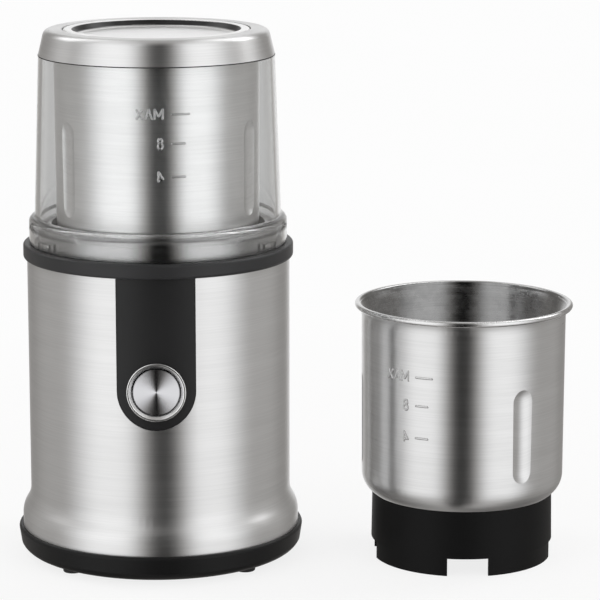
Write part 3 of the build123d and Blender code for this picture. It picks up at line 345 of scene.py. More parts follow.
def plain_metal(name, colour, roughness, grain):
    """Turned or plated metal with a fine even grain."""
    finish = Finish(name, {"Metallic": 1.0})
    fine = finish.cloud(1 / grain, detail=3.0)
    finish.feed("Base Color", finish.tint(finish.cloud(60.0), shade(colour, 0.85), shade(colour, 1.1)))
    finish.feed("Roughness", roughness + fine.sway(0.15))
    finish.relief(fine, depth=0.00001, strength=0.3)
    return finish.material


RING_CLOUDS = 9000.0  # rings of tone on the button, to the metre
SPUN_ROUGHNESS = (0.085, 0.135)  # of its brightest and dullest rings


def spun_steel(name, colour):
    """Steel turned on a lathe: its rings are in the mesh, and only their tone varies here."""
    finish = Finish(name, {"Metallic": 1.0})
    x, _, z = finish.from_axis(button_middle)
    reach = finish.distance(x, z - button_middle.z)
    rings = finish.noise(finish.join(reach * RING_CLOUDS, 0.0, 0.0), scale=1.0)
    finish.feed("Base Color", finish.tint(rings, shade(colour, 0.92), shade(colour, 1.05)))
    bright, dull = SPUN_ROUGHNESS
    finish.feed("Roughness", rings * (dull - bright) + bright)
    return finish.material


def layered(name, colour, roughness, pitch, depth):
    """Stacked sheets or wound wire: even lines one above the other."""
    finish = Finish(name, {"Metallic": 1.0})
    _, _, z = finish.split(finish.place)
    wave = (z * (2 * math.pi / pitch)).math("SINE") * 0.5 + 0.5
    cloud = finish.cloud(300.0, detail=3.0)
    finish.feed("Base Color", finish.tint(wave * 0.7 + cloud * 0.3, shade(colour, 0.55), shade(colour, 1.15)))
    finish.feed("Roughness", roughness + cloud.sway(0.2))
    finish.relief(wave, depth, strength=0.8)
    return finish.material


# Circuit board
TRACKS_ACROSS, TRACKS_UP = 900.0, 700.0  # waves of the tracks, in radians to the metre
TRACK_EDGE = (0.75, 0.85)  # share of a wave where a track starts and is full
TRACK_LIFT = 1.9  # how much paler the lacquer is over a track


def printed_board(name, colour):
    """A circuit board: green lacquer over tracks that show through it."""
    finish = Finish(name, {"IOR": 1.5, "Coat Weight": 0.4})
    x, _, z = finish.split(finish.place)
    weave = abs((x * TRACKS_ACROSS).math("SINE")) + abs((z * TRACKS_UP).math("SINE"))
    tracks = finish.step(weave * 0.5, *TRACK_EDGE)
    finish.feed("Base Color", finish.tint(tracks, colour, shade(colour, TRACK_LIFT)))
    finish.feed("Roughness", finish.cloud(400.0) * 0.2 + 0.3)
    finish.relief(tracks, depth=0.00003, strength=0.5)
    return finish.material


def dress(finish, *names):
    """Gives CAD nodes a finish."""
    for name in names:
        for slot in nodes[name].material_slots:
            slot.material = finish


def add_piece(name, mesh, body, slot, *replaced):
    """Adds a finished mesh as a piece that moves with a body."""
    piece = bpy.data.objects.new(name, mesh)
    bpy.context.scene.collection.objects.link(piece)
    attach(piece, body)
    if replaced:
        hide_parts(*replaced)
    return piece


def weld(mesh):
    """Joins a mesh's loose corners and turns its faces outwards."""
    form = bmesh.new()
    form.from_mesh(mesh)
    bmesh.ops.remove_doubles(form, verts=form.verts, dist=WELD_REACH)
    bmesh.ops.recalc_face_normals(form, faces=form.faces)
    form.to_mesh(mesh)
    form.free()
    return mesh


class Growth(Tree):
    """A geometry tree with named sizes, which ends in a plain mesh with a finish."""

    KINDS = {float: "NodeSocketFloat", int: "NodeSocketInt"}

    def __init__(self, name, sizes, finish):
        group = bpy.data.node_groups.new(name, "GeometryNodeTree")
        super().__init__(group)
        group.interface.new_socket("Geometry", in_out="INPUT", socket_type="NodeSocketGeometry")
        for label, size in sizes.items():
            group.interface.new_socket(label, in_out="INPUT", socket_type=self.KINDS[type(size)])
        group.interface.new_socket("Geometry", in_out="OUTPUT", socket_type="NodeSocketGeometry")
        self.sizes = sizes
        self.finish = finish
        self.given = self.node("NodeGroupInput")
        self.spot = self.node("GeometryNodeInputPosition")["Position"]

    def shape(self, kind, sockets, settings=None):
        """Adds a node that gives one shape."""
        return self.node(kind, settings, sockets)[0]

    def ring(self, radius, sides):
        """A round curve."""
        return self.shape("GeometryNodeCurvePrimitiveCircle", {"Resolution": sides, "Radius": radius})

    def put(self, geometry, **where):
        """Moves a shape's points to a Position or by an Offset."""
        return self.shape("GeometryNodeSetPosition", {"Geometry": geometry, **where})

    def close(self, geometry, rounded=True):
        """Ends the tree in one realized geometry with its finish."""
        solid = self.shape("GeometryNodeRealizeInstances", {"Geometry": geometry})
        smooth = self.shape("GeometryNodeSetShadeSmooth", {"Geometry": solid, "Shade Smooth": rounded})
        dressed = self.shape("GeometryNodeSetMaterial", {"Geometry": smooth, "Material": self.finish})
        self.node("NodeGroupOutput", {}, {"Geometry": dressed})

    def grow(self, seed):
        """Runs the tree on a seed mesh and returns the plain mesh that it makes."""
        holder = bpy.data.objects.new(self.tree.name, seed)
        bpy.context.scene.collection.objects.link(holder)
        modifier = holder.modifiers.new("Growth", "NODES")
        modifier.node_group = self.tree
        for item in self.tree.interface.items_tree:
            if item.in_out == "INPUT" and item.name in self.sizes:
                modifier[item.identifier] = self.sizes[item.name]
        graph = bpy.context.evaluated_depsgraph_get()
        mesh = bpy.data.meshes.new_from_object(holder.evaluated_get(graph), depsgraph=graph)
        bpy.data.objects.remove(holder)
        return weld(mesh)


class GrinderFinishes(bpy.types.PropertyGroup):
    """Colours and surface qualities of the grinder."""

    steel_colour: FloatVectorProperty(
        name="Steel", description="Colour of the brushed steel",
        subtype="COLOR", size=3, min=0, max=1, default=(0.65, 0.65, 0.65),
    )
    steel_roughness: FloatProperty(
        name="Steel roughness", description="How dull the brushed steel is", min=0, max=1, default=0.38,
    )
    steel_brush: FloatProperty(
        name="Brushing", description="How strongly the brushing draws highlights out",
        min=0, max=1, default=0.8,
    )
    line_pitch: FloatProperty(
        name="Brush lines", description="Spacing of the brush lines", unit="LENGTH", default=0.0005,
    )
    plastic_colour: FloatVectorProperty(
        name="Plastic", description="Colour of the black plastic",
        subtype="COLOR", size=3, min=0, max=1, default=(0.010, 0.010, 0.0105),
    )
    plastic_roughness: FloatProperty(
        name="Plastic roughness", description="How dull the black plastic is", min=0, max=1, default=0.42,
    )
    plastic_grain: FloatProperty(
        name="Plastic grain", description="Size of the moulded grain", unit="LENGTH", default=0.0004,
    )
    clear_colour: FloatVectorProperty(
        name="Lid", description="Tint of the clear lid",
        subtype="COLOR", size=3, min=0, max=1, default=(0.99, 0.995, 0.995),
    )
    clear_index: FloatProperty(
        name="Lid index", description="Refractive index of the lid", min=1, max=2, default=1.49,
    )


class GrinderSizes(bpy.types.PropertyGroup):
    """Sizes of the small details."""

    groove_pitch: FloatProperty(
        name="Groove pitch", description="Spacing of the button's grooves", unit="LENGTH", default=0.0002,
    )
    groove_depth: FloatProperty(
        name="Groove depth", description="Depth of the button's grooves", unit="LENGTH", default=0.000034,
    )
    disc_turns: IntProperty(
        name="Disc sides", description="Corners round the button", min=24, default=192,
    )
    button_stroke: FloatProperty(
        name="Button stroke", description="How far the button goes in", unit="LENGTH", default=0.0025,
    )
    # The next two size the thin black ring under the cap, which paints the shadow line in its seam
    seam_bead: FloatProperty(
        name="Cap shadow line", description="Half the thickness of the painted shadow line under the cap",
        unit="LENGTH", default=0.00022,
    )
    seam_turns: IntProperty(
        name="Shadow line sides", description="Corners round the cap's painted shadow line", min=48, default=240,
    )
    mark_bead: FloatProperty(
        name="Mark width", description="Half the width of a raised scale mark",
        unit="LENGTH", default=0.0005,
    )
    mark_sink: FloatProperty(
        name="Mark sink", description="How deep a mark's middle lies in the wall",
        unit="LENGTH", default=0.00012,
    )
    mark_height: FloatProperty(
        name="Figure height", description="Height of the letters and figures",
        unit="LENGTH", default=0.0043,
    )


class GrinderStage(bpy.types.PropertyGroup):
    """Light, floor and camera."""

    floor_colour: FloatVectorProperty(
        name="Floor", description="Colour of the floor",
        subtype="COLOR", size=3, min=0, max=1, default=(0.985, 0.985, 0.985),
    )
    key_light: FloatProperty(
        name="Front boxes", description="Brightness of the two front boxes", min=0, default=1.41,
    )
    side_light: FloatProperty(
        name="Sides", description="Brightness beside the grinder", min=0, default=0.48,
    )
    rear_light: FloatProperty(
        name="Rear box", description="Brightness behind the grinder", min=0, default=1.1,
    )
    gap_light: FloatProperty(
        name="Gap", description="Brightness between the front boxes", min=0, default=0.01,
    )
    top_light: FloatProperty(
        name="Overhead", description="Brightness overhead", min=0, default=0.5,
    )
    wing_light: FloatProperty(
        name="Wings", description="Brightness of the raised side boxes", min=0, default=2.2,
    )
    card_light: FloatProperty(
        name="Card", description="Grey of the card seen through the lid", min=0, default=0.5,
    )
    dome_radius: FloatProperty(
        name="Dome", description="Reach of the light dome", unit="LENGTH", default=0.9,
    )
    lens: FloatProperty(
        name="Lens", description="Focal length in millimetres", min=10, default=175.5,
    )
    camera_place: FloatVectorProperty(
        name="Camera", description="Where the camera stands",
        subtype="TRANSLATION", size=3, default=(-0.024, -1.1697, 0.3394),
    )
    camera_turn: FloatProperty(
        name="Turn", description="How far the camera turns to its right",
        subtype="ANGLE", default=math.radians(1.312),
    )
    camera_dip: FloatProperty(
        name="Dip", description="How far the camera looks down",
        subtype="ANGLE", default=math.radians(11.378),
    )


# Each bowl's axis, its tone and the tone of the shade painted inside it, as shares of the steel's colour: the
# fitted bowl is painted lighter, and the second bowl is painted darker with painted shade inside
BOWLS = (("cup_bowl", grinder_axis, 1.12, 1.0), ("spare_bowl", spare_axis, 0.94, 0.39))


class GRINDER_OT_steel(bpy.types.Operator):
    """Brush the body, trim, lid cap, lid dish and both bowls"""

    bl_idname = "grinder.steel"
    bl_label = "Brush the steel"

    def execute(self, context):
        look = context.scene.grinder_finishes
        brush = look.steel_brush
        body = brushed_steel(
            "body steel", grinder_axis, look, tone=1.0, sheen=0.03, contrast=0.05, brush=brush,
        )
        dress(body, "steel_sleeve", "lid_cap")
        # The trim is the same steel painted darker: its tone of 0.57 is painted shade
        trim = brushed_steel(
            "trim steel", grinder_axis, look, tone=0.57, sheen=0.18, contrast=0.04, brush=brush,
        )
        dress(trim, "socket_trim")
        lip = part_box("lid_dish")[1].z
        # The dish is painted lighter, a painted highlight, and its wall that faces the axis is painted almost
        # black, a painted shadow
        dish = brushed_steel(
            "dish steel", grinder_axis, look, tone=1.4, sheen=0.0, contrast=0.03, brush=0.0,
            polish=lip, inside_shade=0.04, facing=(0.45, 0.8),
        )
        dress(dish, "lid_dish")
        for name, axis, tone, inside_shade in BOWLS:
            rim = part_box(name)[1].z - RIM_BEAD
            bowl = brushed_steel(
                name + " steel", axis, look, tone=tone, sheen=0.07, contrast=0.06, brush=brush,
                polish=rim, inside_shade=inside_shade,
            )
            dress(bowl, name)
        return {"FINISHED"}


# Plastic that is seen: name, share of the plastic's colour, added roughness, gloss, pieces. The shares paint
# light and shade on one black plastic: the collar is painted lighter, the base plate and the cup bases darker
SEEN_PLASTICS = (
    ("satin black", 1.0, 0.0, 0.3, ("front_panel", "cup_socket")),
    ("collar black", 2.5, 0.0, 0.3, ("top_collar",)),
    ("base black", 0.5, 0.0, 0.2, ("base_plate",)),
    ("matt black", 0.3, 0.1, 0.14, ("cup_base", "spare_base")),
)
# Plastic of the workings: name, colour, roughness, grain, pieces
INNER_PLASTICS = (
    (
        "inner black", (0.06, 0.06, 0.065), 0.5, 0.0005,
        ("inner_housing", "button_stem", "interlock_pin", "brush_holders"),
    ),
    ("switch black", (0.05, 0.05, 0.055), 0.4, 0.0003, ("power_switch", "interlock_switch")),
    ("fan nylon", (0.75, 0.75, 0.72), 0.5, 0.0004, ("cooling_fan",)),
    (
        "coupling nylon", (0.08, 0.08, 0.085), 0.55, 0.0003,
        ("drive_coupling", "driven_coupling", "spare_driven_coupling"),
    ),
    ("capacitor yellow", (0.72, 0.47, 0.05), 0.35, 0.0003, ("suppressor_capacitor",)),
    ("brush graphite", (0.03, 0.03, 0.03), 0.6, 0.0002, ("carbon_brushes",)),
)


class GRINDER_OT_plastic(bpy.types.Operator):
    """Give the black plastic its satin grain, and the plastic of the workings its colours"""

    bl_idname = "grinder.plastic"
    bl_label = "Grain the black plastic"

    def execute(self, context):
        look = context.scene.grinder_finishes
        for name, share, added, gloss, pieces in SEEN_PLASTICS:
            colour, roughness = shade(look.plastic_colour, share), look.plastic_roughness + added
            dress(moulded_plastic(name, colour, roughness, look.plastic_grain, gloss), *pieces)
        for name, colour, roughness, grain, pieces in INNER_PLASTICS:
            dress(moulded_plastic(name, colour, roughness, grain), *pieces)
        return {"FINISHED"}


class GRINDER_OT_rubber(bpy.types.Operator):
    """Make the feet, the cord's gland and the shaft seals rubber"""

    bl_idname = "grinder.rubber"
    bl_label = "Mould the rubber"

    def execute(self, context):
        dress(soft_rubber("foot rubber", (0.018, 0.018, 0.018)), "rubber_feet", "cord_grommet")
        dress(soft_rubber("seal rubber", (0.03, 0.03, 0.03)), "cup_seal", "spare_seal")
        return {"FINISHED"}


class GRINDER_OT_lid(bpy.types.Operator):
    """Cast the clear lid"""

    bl_idname = "grinder.lid"
    bl_label = "Cast the clear lid"

    def execute(self, context):
        look = context.scene.grinder_finishes
        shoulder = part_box("lid_shell")[0].z + SHOULDER_RISE
        dress(clear_plastic("clear lid", look.clear_colour, look.clear_index, shoulder), "lid_shell")
        return {"FINISHED"}


SHADOW_LINE_SIDES = 10  # corners round the section of the black ring that paints the cap's shadow line


class GRINDER_OT_seam(bpy.types.Operator):
    """Lay a thin black ring between the lid's cap and its clear wall, a painted shadow line in the seam"""

    bl_idname = "grinder.seam"
    bl_label = "Lay the cap's shadow line"

    def execute(self, context):
        sizes = context.scene.grinder_sizes
        low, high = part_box("lid_cap")
        # The ring is painted shadow: a thin black line laid in the seam under the cap
        tree = Growth(
            "Cap Seal",
            {
                "Ring Radius": (high.x - low.x) / 2 - sizes.seam_bead / 2,
                "Bead": sizes.seam_bead,
                "Height": low.z - sizes.seam_bead / 4,
                "Sides": sizes.seam_turns,
            },
            soft_rubber("cap seal", (0.012, 0.012, 0.012)),
        )
        path = tree.ring(tree.given["Ring Radius"], tree.given["Sides"])
        bead = tree.ring(tree.given["Bead"], SHADOW_LINE_SIDES)
        ring = tree.shape("GeometryNodeCurveToMesh", {"Curve": path, "Profile Curve": bead})
        tree.close(tree.put(ring, Offset=tree.join(grinder_axis.x, grinder_axis.y, tree.given["Height"])))
        add_piece("cap_shadow_line", tree.grow(bpy.data.meshes.new("shadow line seed")), "lid", "seal_rubber")
        return {"FINISHED"}


# Bare metal: name, colour, roughness, grain, pieces
INNER_METALS = (
    (
        "ground steel", (0.62, 0.62, 0.62), 0.22, 0.0002,
        ("motor_shaft", "blade_shaft", "spare_blade_shaft", "blade_nut", "spare_blade_nut"),
    ),
    ("blade steel", (0.68, 0.68, 0.67), 0.25, 0.0003, ("blade", "spare_blade")),
    (
        "plated steel", (0.56, 0.56, 0.55), 0.35, 0.0002,
        (
            "base_screws", "socket_screws", "motor_bolts", "cup_nut", "spare_nut",
            "button_spring", "interlock_spring",
        ),
    ),
    ("bracket steel", (0.5, 0.5, 0.5), 0.4, 0.0003, ("lower_bracket", "upper_bracket")),
    (
        "bearing bronze", (0.55, 0.38, 0.18), 0.38, 0.00025,
        ("lower_bearing", "upper_bearing", "cup_bush", "spare_bush"),
    ),
    ("commutator copper", (0.65, 0.32, 0.17), 0.3, 0.0003, ("commutator",)),
)
# Stacked sheets and windings: name, colour, roughness, pitch, depth, pieces
INNER_LAYERS = (
    ("laminated iron", (0.22, 0.22, 0.23), 0.5, 0.0005, 0.00005, ("motor_stator", "armature_core")),
    ("enamelled copper", (0.55, 0.24, 0.09), 0.3, 0.0006, 0.0001, ("field_coils", "armature_winding")),
)


class GRINDER_OT_workings(bpy.types.Operator):
    """Finish the motor, blades, springs and screws"""

    bl_idname = "grinder.workings"
    bl_label = "Finish the workings"

    def execute(self, context):
        for name, colour, roughness, grain, pieces in INNER_METALS:
            dress(plain_metal(name, colour, roughness, grain), *pieces)
        for name, colour, roughness, pitch, depth, pieces in INNER_LAYERS:
            dress(layered(name, colour, roughness, pitch, depth), *pieces)
        dress(printed_board("board lacquer", (0.02, 0.13, 0.05)), "circuit_board")
        return {"FINISHED"}


DISC_EDGE = 0.0002  # how far the disc's edges are rounded
PLAIN_EDGE = (0.0003, 0.0001)  # from the disc's rim, where its grooves start to fade and are gone


class GRINDER_OT_button(bpy.types.Operator):
    """Spin the button's disc with fine rings, and polish the bezel round it"""

    bl_idname = "grinder.button"
    bl_label = "Spin the button"

    def execute(self, context):
        sizes = context.scene.grinder_sizes
        chrome = plain_metal("bezel chrome", (0.8, 0.8, 0.8), roughness=0.24, grain=0.0004)
        dress(chrome, "button_bezel")
        radius = (button_high.x - button_low.x) / 2
        deep = button_high.y - button_low.y
        girth = 2 * radius + deep
        flanks = round(2 * girth / sizes.groove_pitch)
        tree = Growth(
            "Spun Disc",
            {
                "Radius": radius,
                "Thickness": deep,
                "Groove Pitch": 2 * girth / flanks,
                "Groove Depth": sizes.groove_depth,
                "Rings": flanks + 1,
                "Sides": sizes.disc_turns,
            },
            spun_steel("spun steel", (0.5, 0.5, 0.515)),
        )
        wide, thick = tree.given["Radius"], tree.given["Thickness"]
        sheet = {"Size X": 1.0, "Size Y": 1.0}
        sheet |= {"Vertices X": tree.given["Rings"], "Vertices Y": tree.given["Sides"]}
        grid = tree.shape("GeometryNodeMeshGrid", sheet)
        u, v, _ = tree.split(tree.spot)
        run = (u + 0.5) * (wide * 2.0 + thick)
        out = run.math("SMOOTH_MIN", wide, DISC_EDGE)
        out = out.math("SMOOTH_MIN", wide * 2.0 + thick - run, DISC_EDGE).math("MAXIMUM", 0.0)
        back = (run - wide).math("SMOOTH_MAX", 0.0, DISC_EDGE).math("SMOOTH_MIN", thick, DISC_EDGE)
        front = 1.0 - tree.step(run, *(wide - inset for inset in PLAIN_EDGE))
        half_pitch = tree.given["Groove Pitch"] * 0.5
        groove = run.math("PINGPONG", half_pitch) / half_pitch * front
        turn = (v + 0.5) * (2 * math.pi)
        place = tree.join(
            turn.math("COSINE") * out + button_middle.x,
            back + groove * tree.given["Groove Depth"] + button_low.y,
            turn.math("SINE") * out + button_middle.z,
        )
        tree.close(tree.put(grid, Position=place), rounded=False)
        mesh = tree.grow(bpy.data.meshes.new("button seed"))
        add_piece("button_disc", mesh, "button", "button_steel", "button_cap")
        return {"FINISHED"}


class GRINDER_OT_spring(bpy.types.Operator):
    """Give the button's spring a welded mesh of its own, which stays with the base"""

    bl_idname = "grinder.spring"
    bl_label = "Free the button's spring"

    def execute(self, context):
        wire = weld(nodes["button_spring"].data.copy())
        coil = add_piece("button_coil", wire, "base", "spring_steel", "button_spring")
        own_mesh(coil)
        return {"FINISHED"}


def loop(centre, middle_height, radius, sides=16):
    """Points round one loop of a figure."""
    turns = [math.tau * i / sides for i in range(sides + 1)]
    return [(centre + radius * math.sin(turn), middle_height + radius * math.cos(turn)) for turn in turns]


# Each figure's width and its strokes, as shares of the figures' height
FIGURES = {
    "M": (0.9, [[(0, 0), (0, 1), (0.45, 0.3), (0.9, 1), (0.9, 0)]]),
    "A": (0.8, [[(0, 0), (0.4, 1), (0.8, 0)], [(0.14, 0.34), (0.66, 0.34)]]),
    "X": (0.75, [[(0, 0), (0.75, 1)], [(0, 1), (0.75, 0)]]),
    "4": (0.7, [[(0.52, 0), (0.52, 1), (0, 0.3), (0.72, 0.3)]]),
    "8": (0.62, [loop(0.31, 0.76, 0.23), loop(0.31, 0.27, 0.27)]),
}
# Each mark's figures, its height above the table on the second cup, and its line's length
MARKS = (("MAX", 0.0816, 0.0078), ("8", 0.0701, 0.0060), ("4", 0.0570, 0.0060))
TEXT_GAP = 4.2  # degrees between a line's start and its figures
FIGURE_SPREAD = 0.82  # how wide the figures are drawn
FIGURE_SPACE = 0.2  # space between figures, as a share of their height
MARK_STEP = 0.00014  # spacing of the points along a mark
MARK_SIDES = 12  # corners round a mark's section
MARK_TIP = 0.01  # keeps a mark's end from closing to a point
FITTED_TURN = 32.0  # degrees by which the fitted cup is turned from the second cup
# Where the lines start round each cup, in degrees, before it is turned
FITTED_START, SPARE_START = -23.3, -31.8


def draw_marks(height, start):
    """The scale as flat strokes, along the wall in x and up it in z. Its figures read from the inside."""
    form = bmesh.new()

    def stroke(points):
        """Adds one pen stroke."""
        verts = [form.verts.new(point) for point in points]
        for pair in zip(verts, verts[1:]):
            form.edges.new(pair)

    line_start = math.radians(start) * WALL_RADIUS
    for label, level, length in MARKS:
        stroke([(line_start, 0, level), (line_start + length, 0, level)])
        pen = math.radians(start - TEXT_GAP) * WALL_RADIUS
        for figure in label:
            wide, strokes = FIGURES[figure]
            for points in strokes:
                stroke([(pen - x * height * FIGURE_SPREAD, 0, level + (y - 0.5) * height) for x, y in points])
            pen -= (wide * FIGURE_SPREAD + FIGURE_SPACE) * height
    mesh = bpy.data.meshes.new("scale strokes")
    form.to_mesh(mesh)
    form.free()
    return mesh


class GRINDER_OT_marks(bpy.types.Operator):
    """Raise the scale marks on both bowls"""

    bl_idname = "grinder.marks"
    bl_label = "Raise the scale marks"

    def execute(self, context):
        self.raise_marks(context, "cup", "cup_marks", grinder_axis, FITTED_TURN, cup_rise, FITTED_START)
        self.raise_marks(context, "spare_cup", "spare_marks", spare_axis, 0.0, 0.0, SPARE_START)
        return {"FINISHED"}

    def raise_marks(self, context, body, name, axis, turned, rise, start):
        """Bends one cup's strokes round its wall and gives them a rounded section."""
        look, sizes = context.scene.grinder_finishes, context.scene.grinder_sizes
        tree = Growth(
            "Scale Marks",
            {
                "Axis X": axis.x,
                "Axis Y": axis.y,
                "Rise": rise,
                "Turn": math.radians(turned),
                "Wall Radius": WALL_RADIUS,
                "Bead": sizes.mark_bead,
                "Sink": sizes.mark_sink,
            },
            # The marks are the steel painted darker: painted shade that makes them stand out from the wall
            plain_metal(name + " steel", shade(look.steel_colour, 0.8), roughness=0.26, grain=0.0002),
        )
        bead = tree.given["Bead"]
        strokes = tree.shape("GeometryNodeMeshToCurve", {"Mesh": tree.given["Geometry"]})
        evenly = {"mode": "LENGTH"}
        strokes = tree.shape("GeometryNodeResampleCurve", {"Curve": strokes, "Length": MARK_STEP}, evenly)
        x, _, z = tree.split(tree.spot)
        angle = x / tree.given["Wall Radius"] + tree.given["Turn"]
        out = tree.given["Wall Radius"] - tree.given["Sink"]
        place = tree.join(
            angle.math("SINE") * out + tree.given["Axis X"],
            tree.given["Axis Y"] - angle.math("COSINE") * out,
            z + tree.given["Rise"],
        )
        span = tree.node("GeometryNodeSplineParameter")["Length"]
        whole = tree.node("GeometryNodeSplineLength")["Length"]
        short = 1.0 - (span.math("MINIMUM", whole - span) / bead).up_to_one()
        round_end = (1.0 - short * short).math("MAXIMUM", MARK_TIP).math("SQRT")
        sweep = {"Curve": tree.put(strokes, Position=place), "Profile Curve": tree.ring(bead, MARK_SIDES)}
        sweep |= {"Scale": round_end, "Fill Caps": True}
        tree.close(tree.shape("GeometryNodeCurveToMesh", sweep))
        add_piece(name, tree.grow(draw_marks(sizes.mark_height, start)), body, "bowl_steel")


# Floor, in metres
FLOOR_RADIUS = 12.0
FLOOR_FADE = (0.2, 0.5)  # distance over which the soft shadow fades out
FLOOR_GLOW = 0.84  # share of the floor's light that is its own near the grinder

# Light dome: edges of its boxes, in degrees round from the front
FRONT_RISE, FRONT_FALL = (5.0, 34.0), (53.0, 92.0)
FRONT_LEAN = 3.0  # by how much sooner the right front box falls off
SIDE_FADE, SIDE_LOSS = (112.0, 140.0), 0.3  # where the sides dim, and by what share
REAR_RISE = (150.0, 168.0)
WING_RISE, WING_FALL = (94.0, 106.0), (120.0, 134.0)
RIGHT_WING = 0.55  # how much brighter the right wing is
# The same in degrees up from the level, or down from it for the low part
OVERHEAD_RISE = (45.0, 70.0)
WING_FOOT, WING_TOP = (20.0, 34.0), (70.0, 85.0)
LOW_FADE, LOW_LOSS = (20.0, 50.0), 0.6  # where the low part dims, and by what share
DOME_HEIGHT = 0.1  # of the dome's middle, in metres
RIGHT_HALF = (-0.05, 0.05)  # where left goes over into right, in metres
DIM_LIGHT, FULL_LIGHT = (1.0, 0.965, 0.925), (1.0, 1.0, 1.0)
LIGHT_TURNS_WHITE = (0.2, 1.0)  # brightness over which the light goes from dim to full

SENSOR_WIDTH = 36.0  # in millimetres
CLIP_NEAR, CLIP_FAR = 0.05, 60.0


class GRINDER_OT_stage(bpy.types.Operator):
    """Set the floor, the light and the camera"""

    bl_idname = "grinder.stage"
    bl_label = "Set the stage"

    def execute(self, context):
        stage = context.scene.grinder_stage
        self.make_floor(stage)
        self.make_light(stage)
        self.make_backdrop(stage)
        self.make_camera(stage)
        # The body's side doesn't mirror the second cup
        second_cup = [piece for name, piece in nodes.items() if name.startswith("spare")]
        for piece in (*second_cup, bpy.data.objects["spare_marks"]):
            piece.visible_glossy = False
        return {"FINISHED"}

    def start_material(self, name):
        """A material for the stage, and its empty tree."""
        material = bpy.data.materials.new(name)
        material.use_nodes = True
        material.cycles.emission_sampling = "NONE"
        return material, Tree(material.node_tree)

    def mix_shaders(self, tree, share, first, second):
        """Goes from one shader to another."""
        return tree.node("ShaderNodeMixShader", {}, {0: share, 1: first, 2: second})["Shader"]

    def add_mesh(self, name, form, material):
        """Adds a mesh that belongs to the stage."""
        mesh = bpy.data.meshes.new(name)
        form.to_mesh(mesh)
        form.free()
        mesh.materials.append(material)
        piece = bpy.data.objects.new(name, mesh)
        bpy.context.scene.collection.objects.link(piece)

    def make_floor(self, stage):
        """Pale paper with a faint shadow, which the steel doesn't mirror and which is open from below."""
        material, tree = self.start_material("floor paper")
        place = tree.node("ShaderNodeTexCoord")["Object"]
        x, y, _ = tree.split(place)
        far = tree.step(tree.distance(x, y), *FLOOR_FADE)
        cloud = tree.noise(place, scale=3.0, detail=3.0)
        paper = tree.tint(cloud, shade(stage.floor_colour, 0.99), stage.floor_colour)
        matt = tree.node("ShaderNodeBsdfDiffuse", {}, {"Color": paper})["BSDF"]
        path = tree.node("ShaderNodeLightPath")
        through = path["Transmission Depth"].up_to_one()
        lift = 1.0 - through * (1.0 - stage.card_light)
        glow = tree.node("ShaderNodeEmission", {}, {"Color": paper, "Strength": lift})["Emission"]
        share = (far * (1.0 - FLOOR_GLOW) + FLOOR_GLOW).math("MAXIMUM", through)
        unlit = share * (1.0 - path["Diffuse Depth"].up_to_one())
        lit = self.mix_shaders(tree, unlit, matt, glow)
        open_air = tree.node("ShaderNodeBsdfTransparent")["BSDF"]
        under = tree.node("ShaderNodeNewGeometry")["Backfacing"]
        unseen = (path["Glossy Depth"] + under).up_to_one()
        both = self.mix_shaders(tree, unseen, lit, open_air)
        tree.node("ShaderNodeOutputMaterial", {}, {"Surface": both})
        form = bmesh.new()
        bmesh.ops.create_circle(form, cap_ends=True, radius=FLOOR_RADIUS, segments=96)
        self.add_mesh("floor", form, material)

    def make_light(self, stage):
        """A dome of soft boxes that only mirrored and scattered light reaches."""
        material, tree = self.start_material("light dome")
        x, y, z = tree.split(tree.node("ShaderNodeTexCoord")["Object"])
        round_about = abs(x.math("ARCTAN2", y * -1.0)) * (180 / math.pi)
        climb = ((z - DOME_HEIGHT) / stage.dome_radius).math("ARCSINE") * (180 / math.pi)
        right = tree.step(x, *RIGHT_HALF)
        fall = tree.step(round_about + right * FRONT_LEAN, *FRONT_FALL)
        boxes = tree.step(round_about, *FRONT_RISE) * (1.0 - fall)
        sides = fall * (1.0 - tree.step(round_about, *SIDE_FADE) * SIDE_LOSS)
        rear = tree.step(round_about, *REAR_RISE)
        level = boxes * stage.key_light + sides * stage.side_light
        level = level + rear * (stage.rear_light - stage.side_light) + stage.gap_light
        overhead = tree.step(climb, *OVERHEAD_RISE)
        level = level * (1.0 - overhead) + overhead * stage.top_light
        wings = tree.band(round_about, WING_RISE, WING_FALL) * tree.band(climb, WING_FOOT, WING_TOP)
        level = level + wings * stage.wing_light * (right * RIGHT_WING + 1.0)
        level = level * (1.0 - tree.step(climb * -1.0, *LOW_FADE) * LOW_LOSS)
        warm = tree.tint(tree.step(level, *LIGHT_TURNS_WHITE), DIM_LIGHT, FULL_LIGHT)
        glow = tree.node("ShaderNodeEmission", {}, {"Color": warm, "Strength": level})["Emission"]
        open_air = tree.node("ShaderNodeBsdfTransparent")["BSDF"]
        path = tree.node("ShaderNodeLightPath")
        bounced = (path["Glossy Depth"] + path["Diffuse Depth"]).up_to_one()
        both = self.mix_shaders(tree, bounced, open_air, glow)
        tree.node("ShaderNodeOutputMaterial", {}, {"Surface": both})
        form = bmesh.new()
        bmesh.ops.create_icosphere(form, subdivisions=5, radius=stage.dome_radius)
        bmesh.ops.translate(form, verts=form.verts, vec=(0.0, 0.0, DOME_HEIGHT))
        self.add_mesh("light_dome", form, material)

    def make_backdrop(self, stage):
        """A pale backdrop, which is a grey card where it is seen through the lid."""
        world = bpy.data.worlds.new("backdrop")
        bpy.context.scene.world = world
        world.use_nodes = True
        world.cycles.sampling_method = "NONE"
        tree = Tree(world.node_tree)
        through = tree.node("ShaderNodeLightPath")["Transmission Depth"].up_to_one()
        level = 1.0 - through * (1.0 - stage.card_light)
        pale = (*stage.floor_colour, 1.0)
        glow = tree.node("ShaderNodeBackground", {}, {"Color": pale, "Strength": level})["Background"]
        tree.node("ShaderNodeOutputWorld", {}, {"Surface": glow})
        bpy.context.scene.view_settings.view_transform = "Standard"

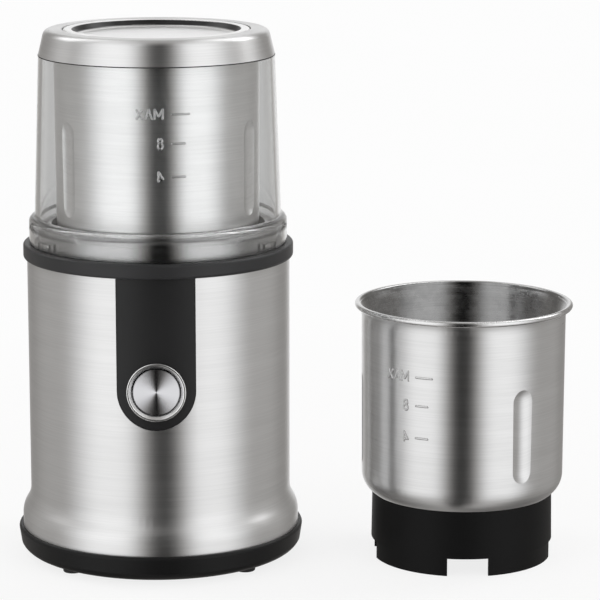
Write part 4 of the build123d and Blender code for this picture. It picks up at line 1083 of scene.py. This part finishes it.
    def make_camera(self, stage):
        """A camera where the photograph was taken from."""
        data = bpy.data.cameras.new("camera")
        data.lens = stage.lens
        data.sensor_width = SENSOR_WIDTH
        data.clip_start, data.clip_end = CLIP_NEAR, CLIP_FAR
        camera = bpy.data.objects.new("camera", data)
        camera.location = stage.camera_place
        camera.rotation_euler = (math.pi / 2 - stage.camera_dip, 0.0, -stage.camera_turn)
        bpy.context.scene.collection.objects.link(camera)
        bpy.context.scene.camera = camera


OPERATORS = (
    GRINDER_OT_steel,
    GRINDER_OT_plastic,
    GRINDER_OT_rubber,
    GRINDER_OT_lid,
    GRINDER_OT_seam,
    GRINDER_OT_workings,
    GRINDER_OT_button,
    GRINDER_OT_spring,
    GRINDER_OT_marks,
    GRINDER_OT_stage,
)


class GRINDER_PT_panel(bpy.types.Panel):
    """Sizes, colours and steps of the grinder's looks"""

    bl_idname = "GRINDER_PT_panel"
    bl_label = "Coffee Grinder"
    bl_space_type = "VIEW_3D"
    bl_region_type = "UI"
    bl_category = "Grinder"

    def draw(self, context):
        column = self.layout.column()
        scene = context.scene
        for settings in (scene.grinder_finishes, scene.grinder_sizes, scene.grinder_stage):
            for key in settings.__annotations__:
                column.prop(settings, key)
        for operator in OPERATORS:
            column.operator(operator.bl_idname)


CLASSES = (GrinderFinishes, GrinderSizes, GrinderStage, *OPERATORS, GRINDER_PT_panel)
STEPS = ("steel", "plastic", "rubber", "lid", "seam", "workings", "button", "spring", "marks", "stage")


def register():
    """Adds the classes and the scene's settings."""
    for item in CLASSES:
        bpy.utils.register_class(item)
    bpy.types.Scene.grinder_finishes = PointerProperty(type=GrinderFinishes)
    bpy.types.Scene.grinder_sizes = PointerProperty(type=GrinderSizes)
    bpy.types.Scene.grinder_stage = PointerProperty(type=GrinderStage)


def unregister():
    """Takes the settings and classes away again."""
    del bpy.types.Scene.grinder_stage
    del bpy.types.Scene.grinder_sizes
    del bpy.types.Scene.grinder_finishes
    for item in reversed(CLASSES):
        bpy.utils.unregister_class(item)


def main():
    """Dresses the grinder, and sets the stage."""
    register()
    for step in STEPS:
        getattr(bpy.ops.grinder, step)()


if __name__ == "__main__":
    main()
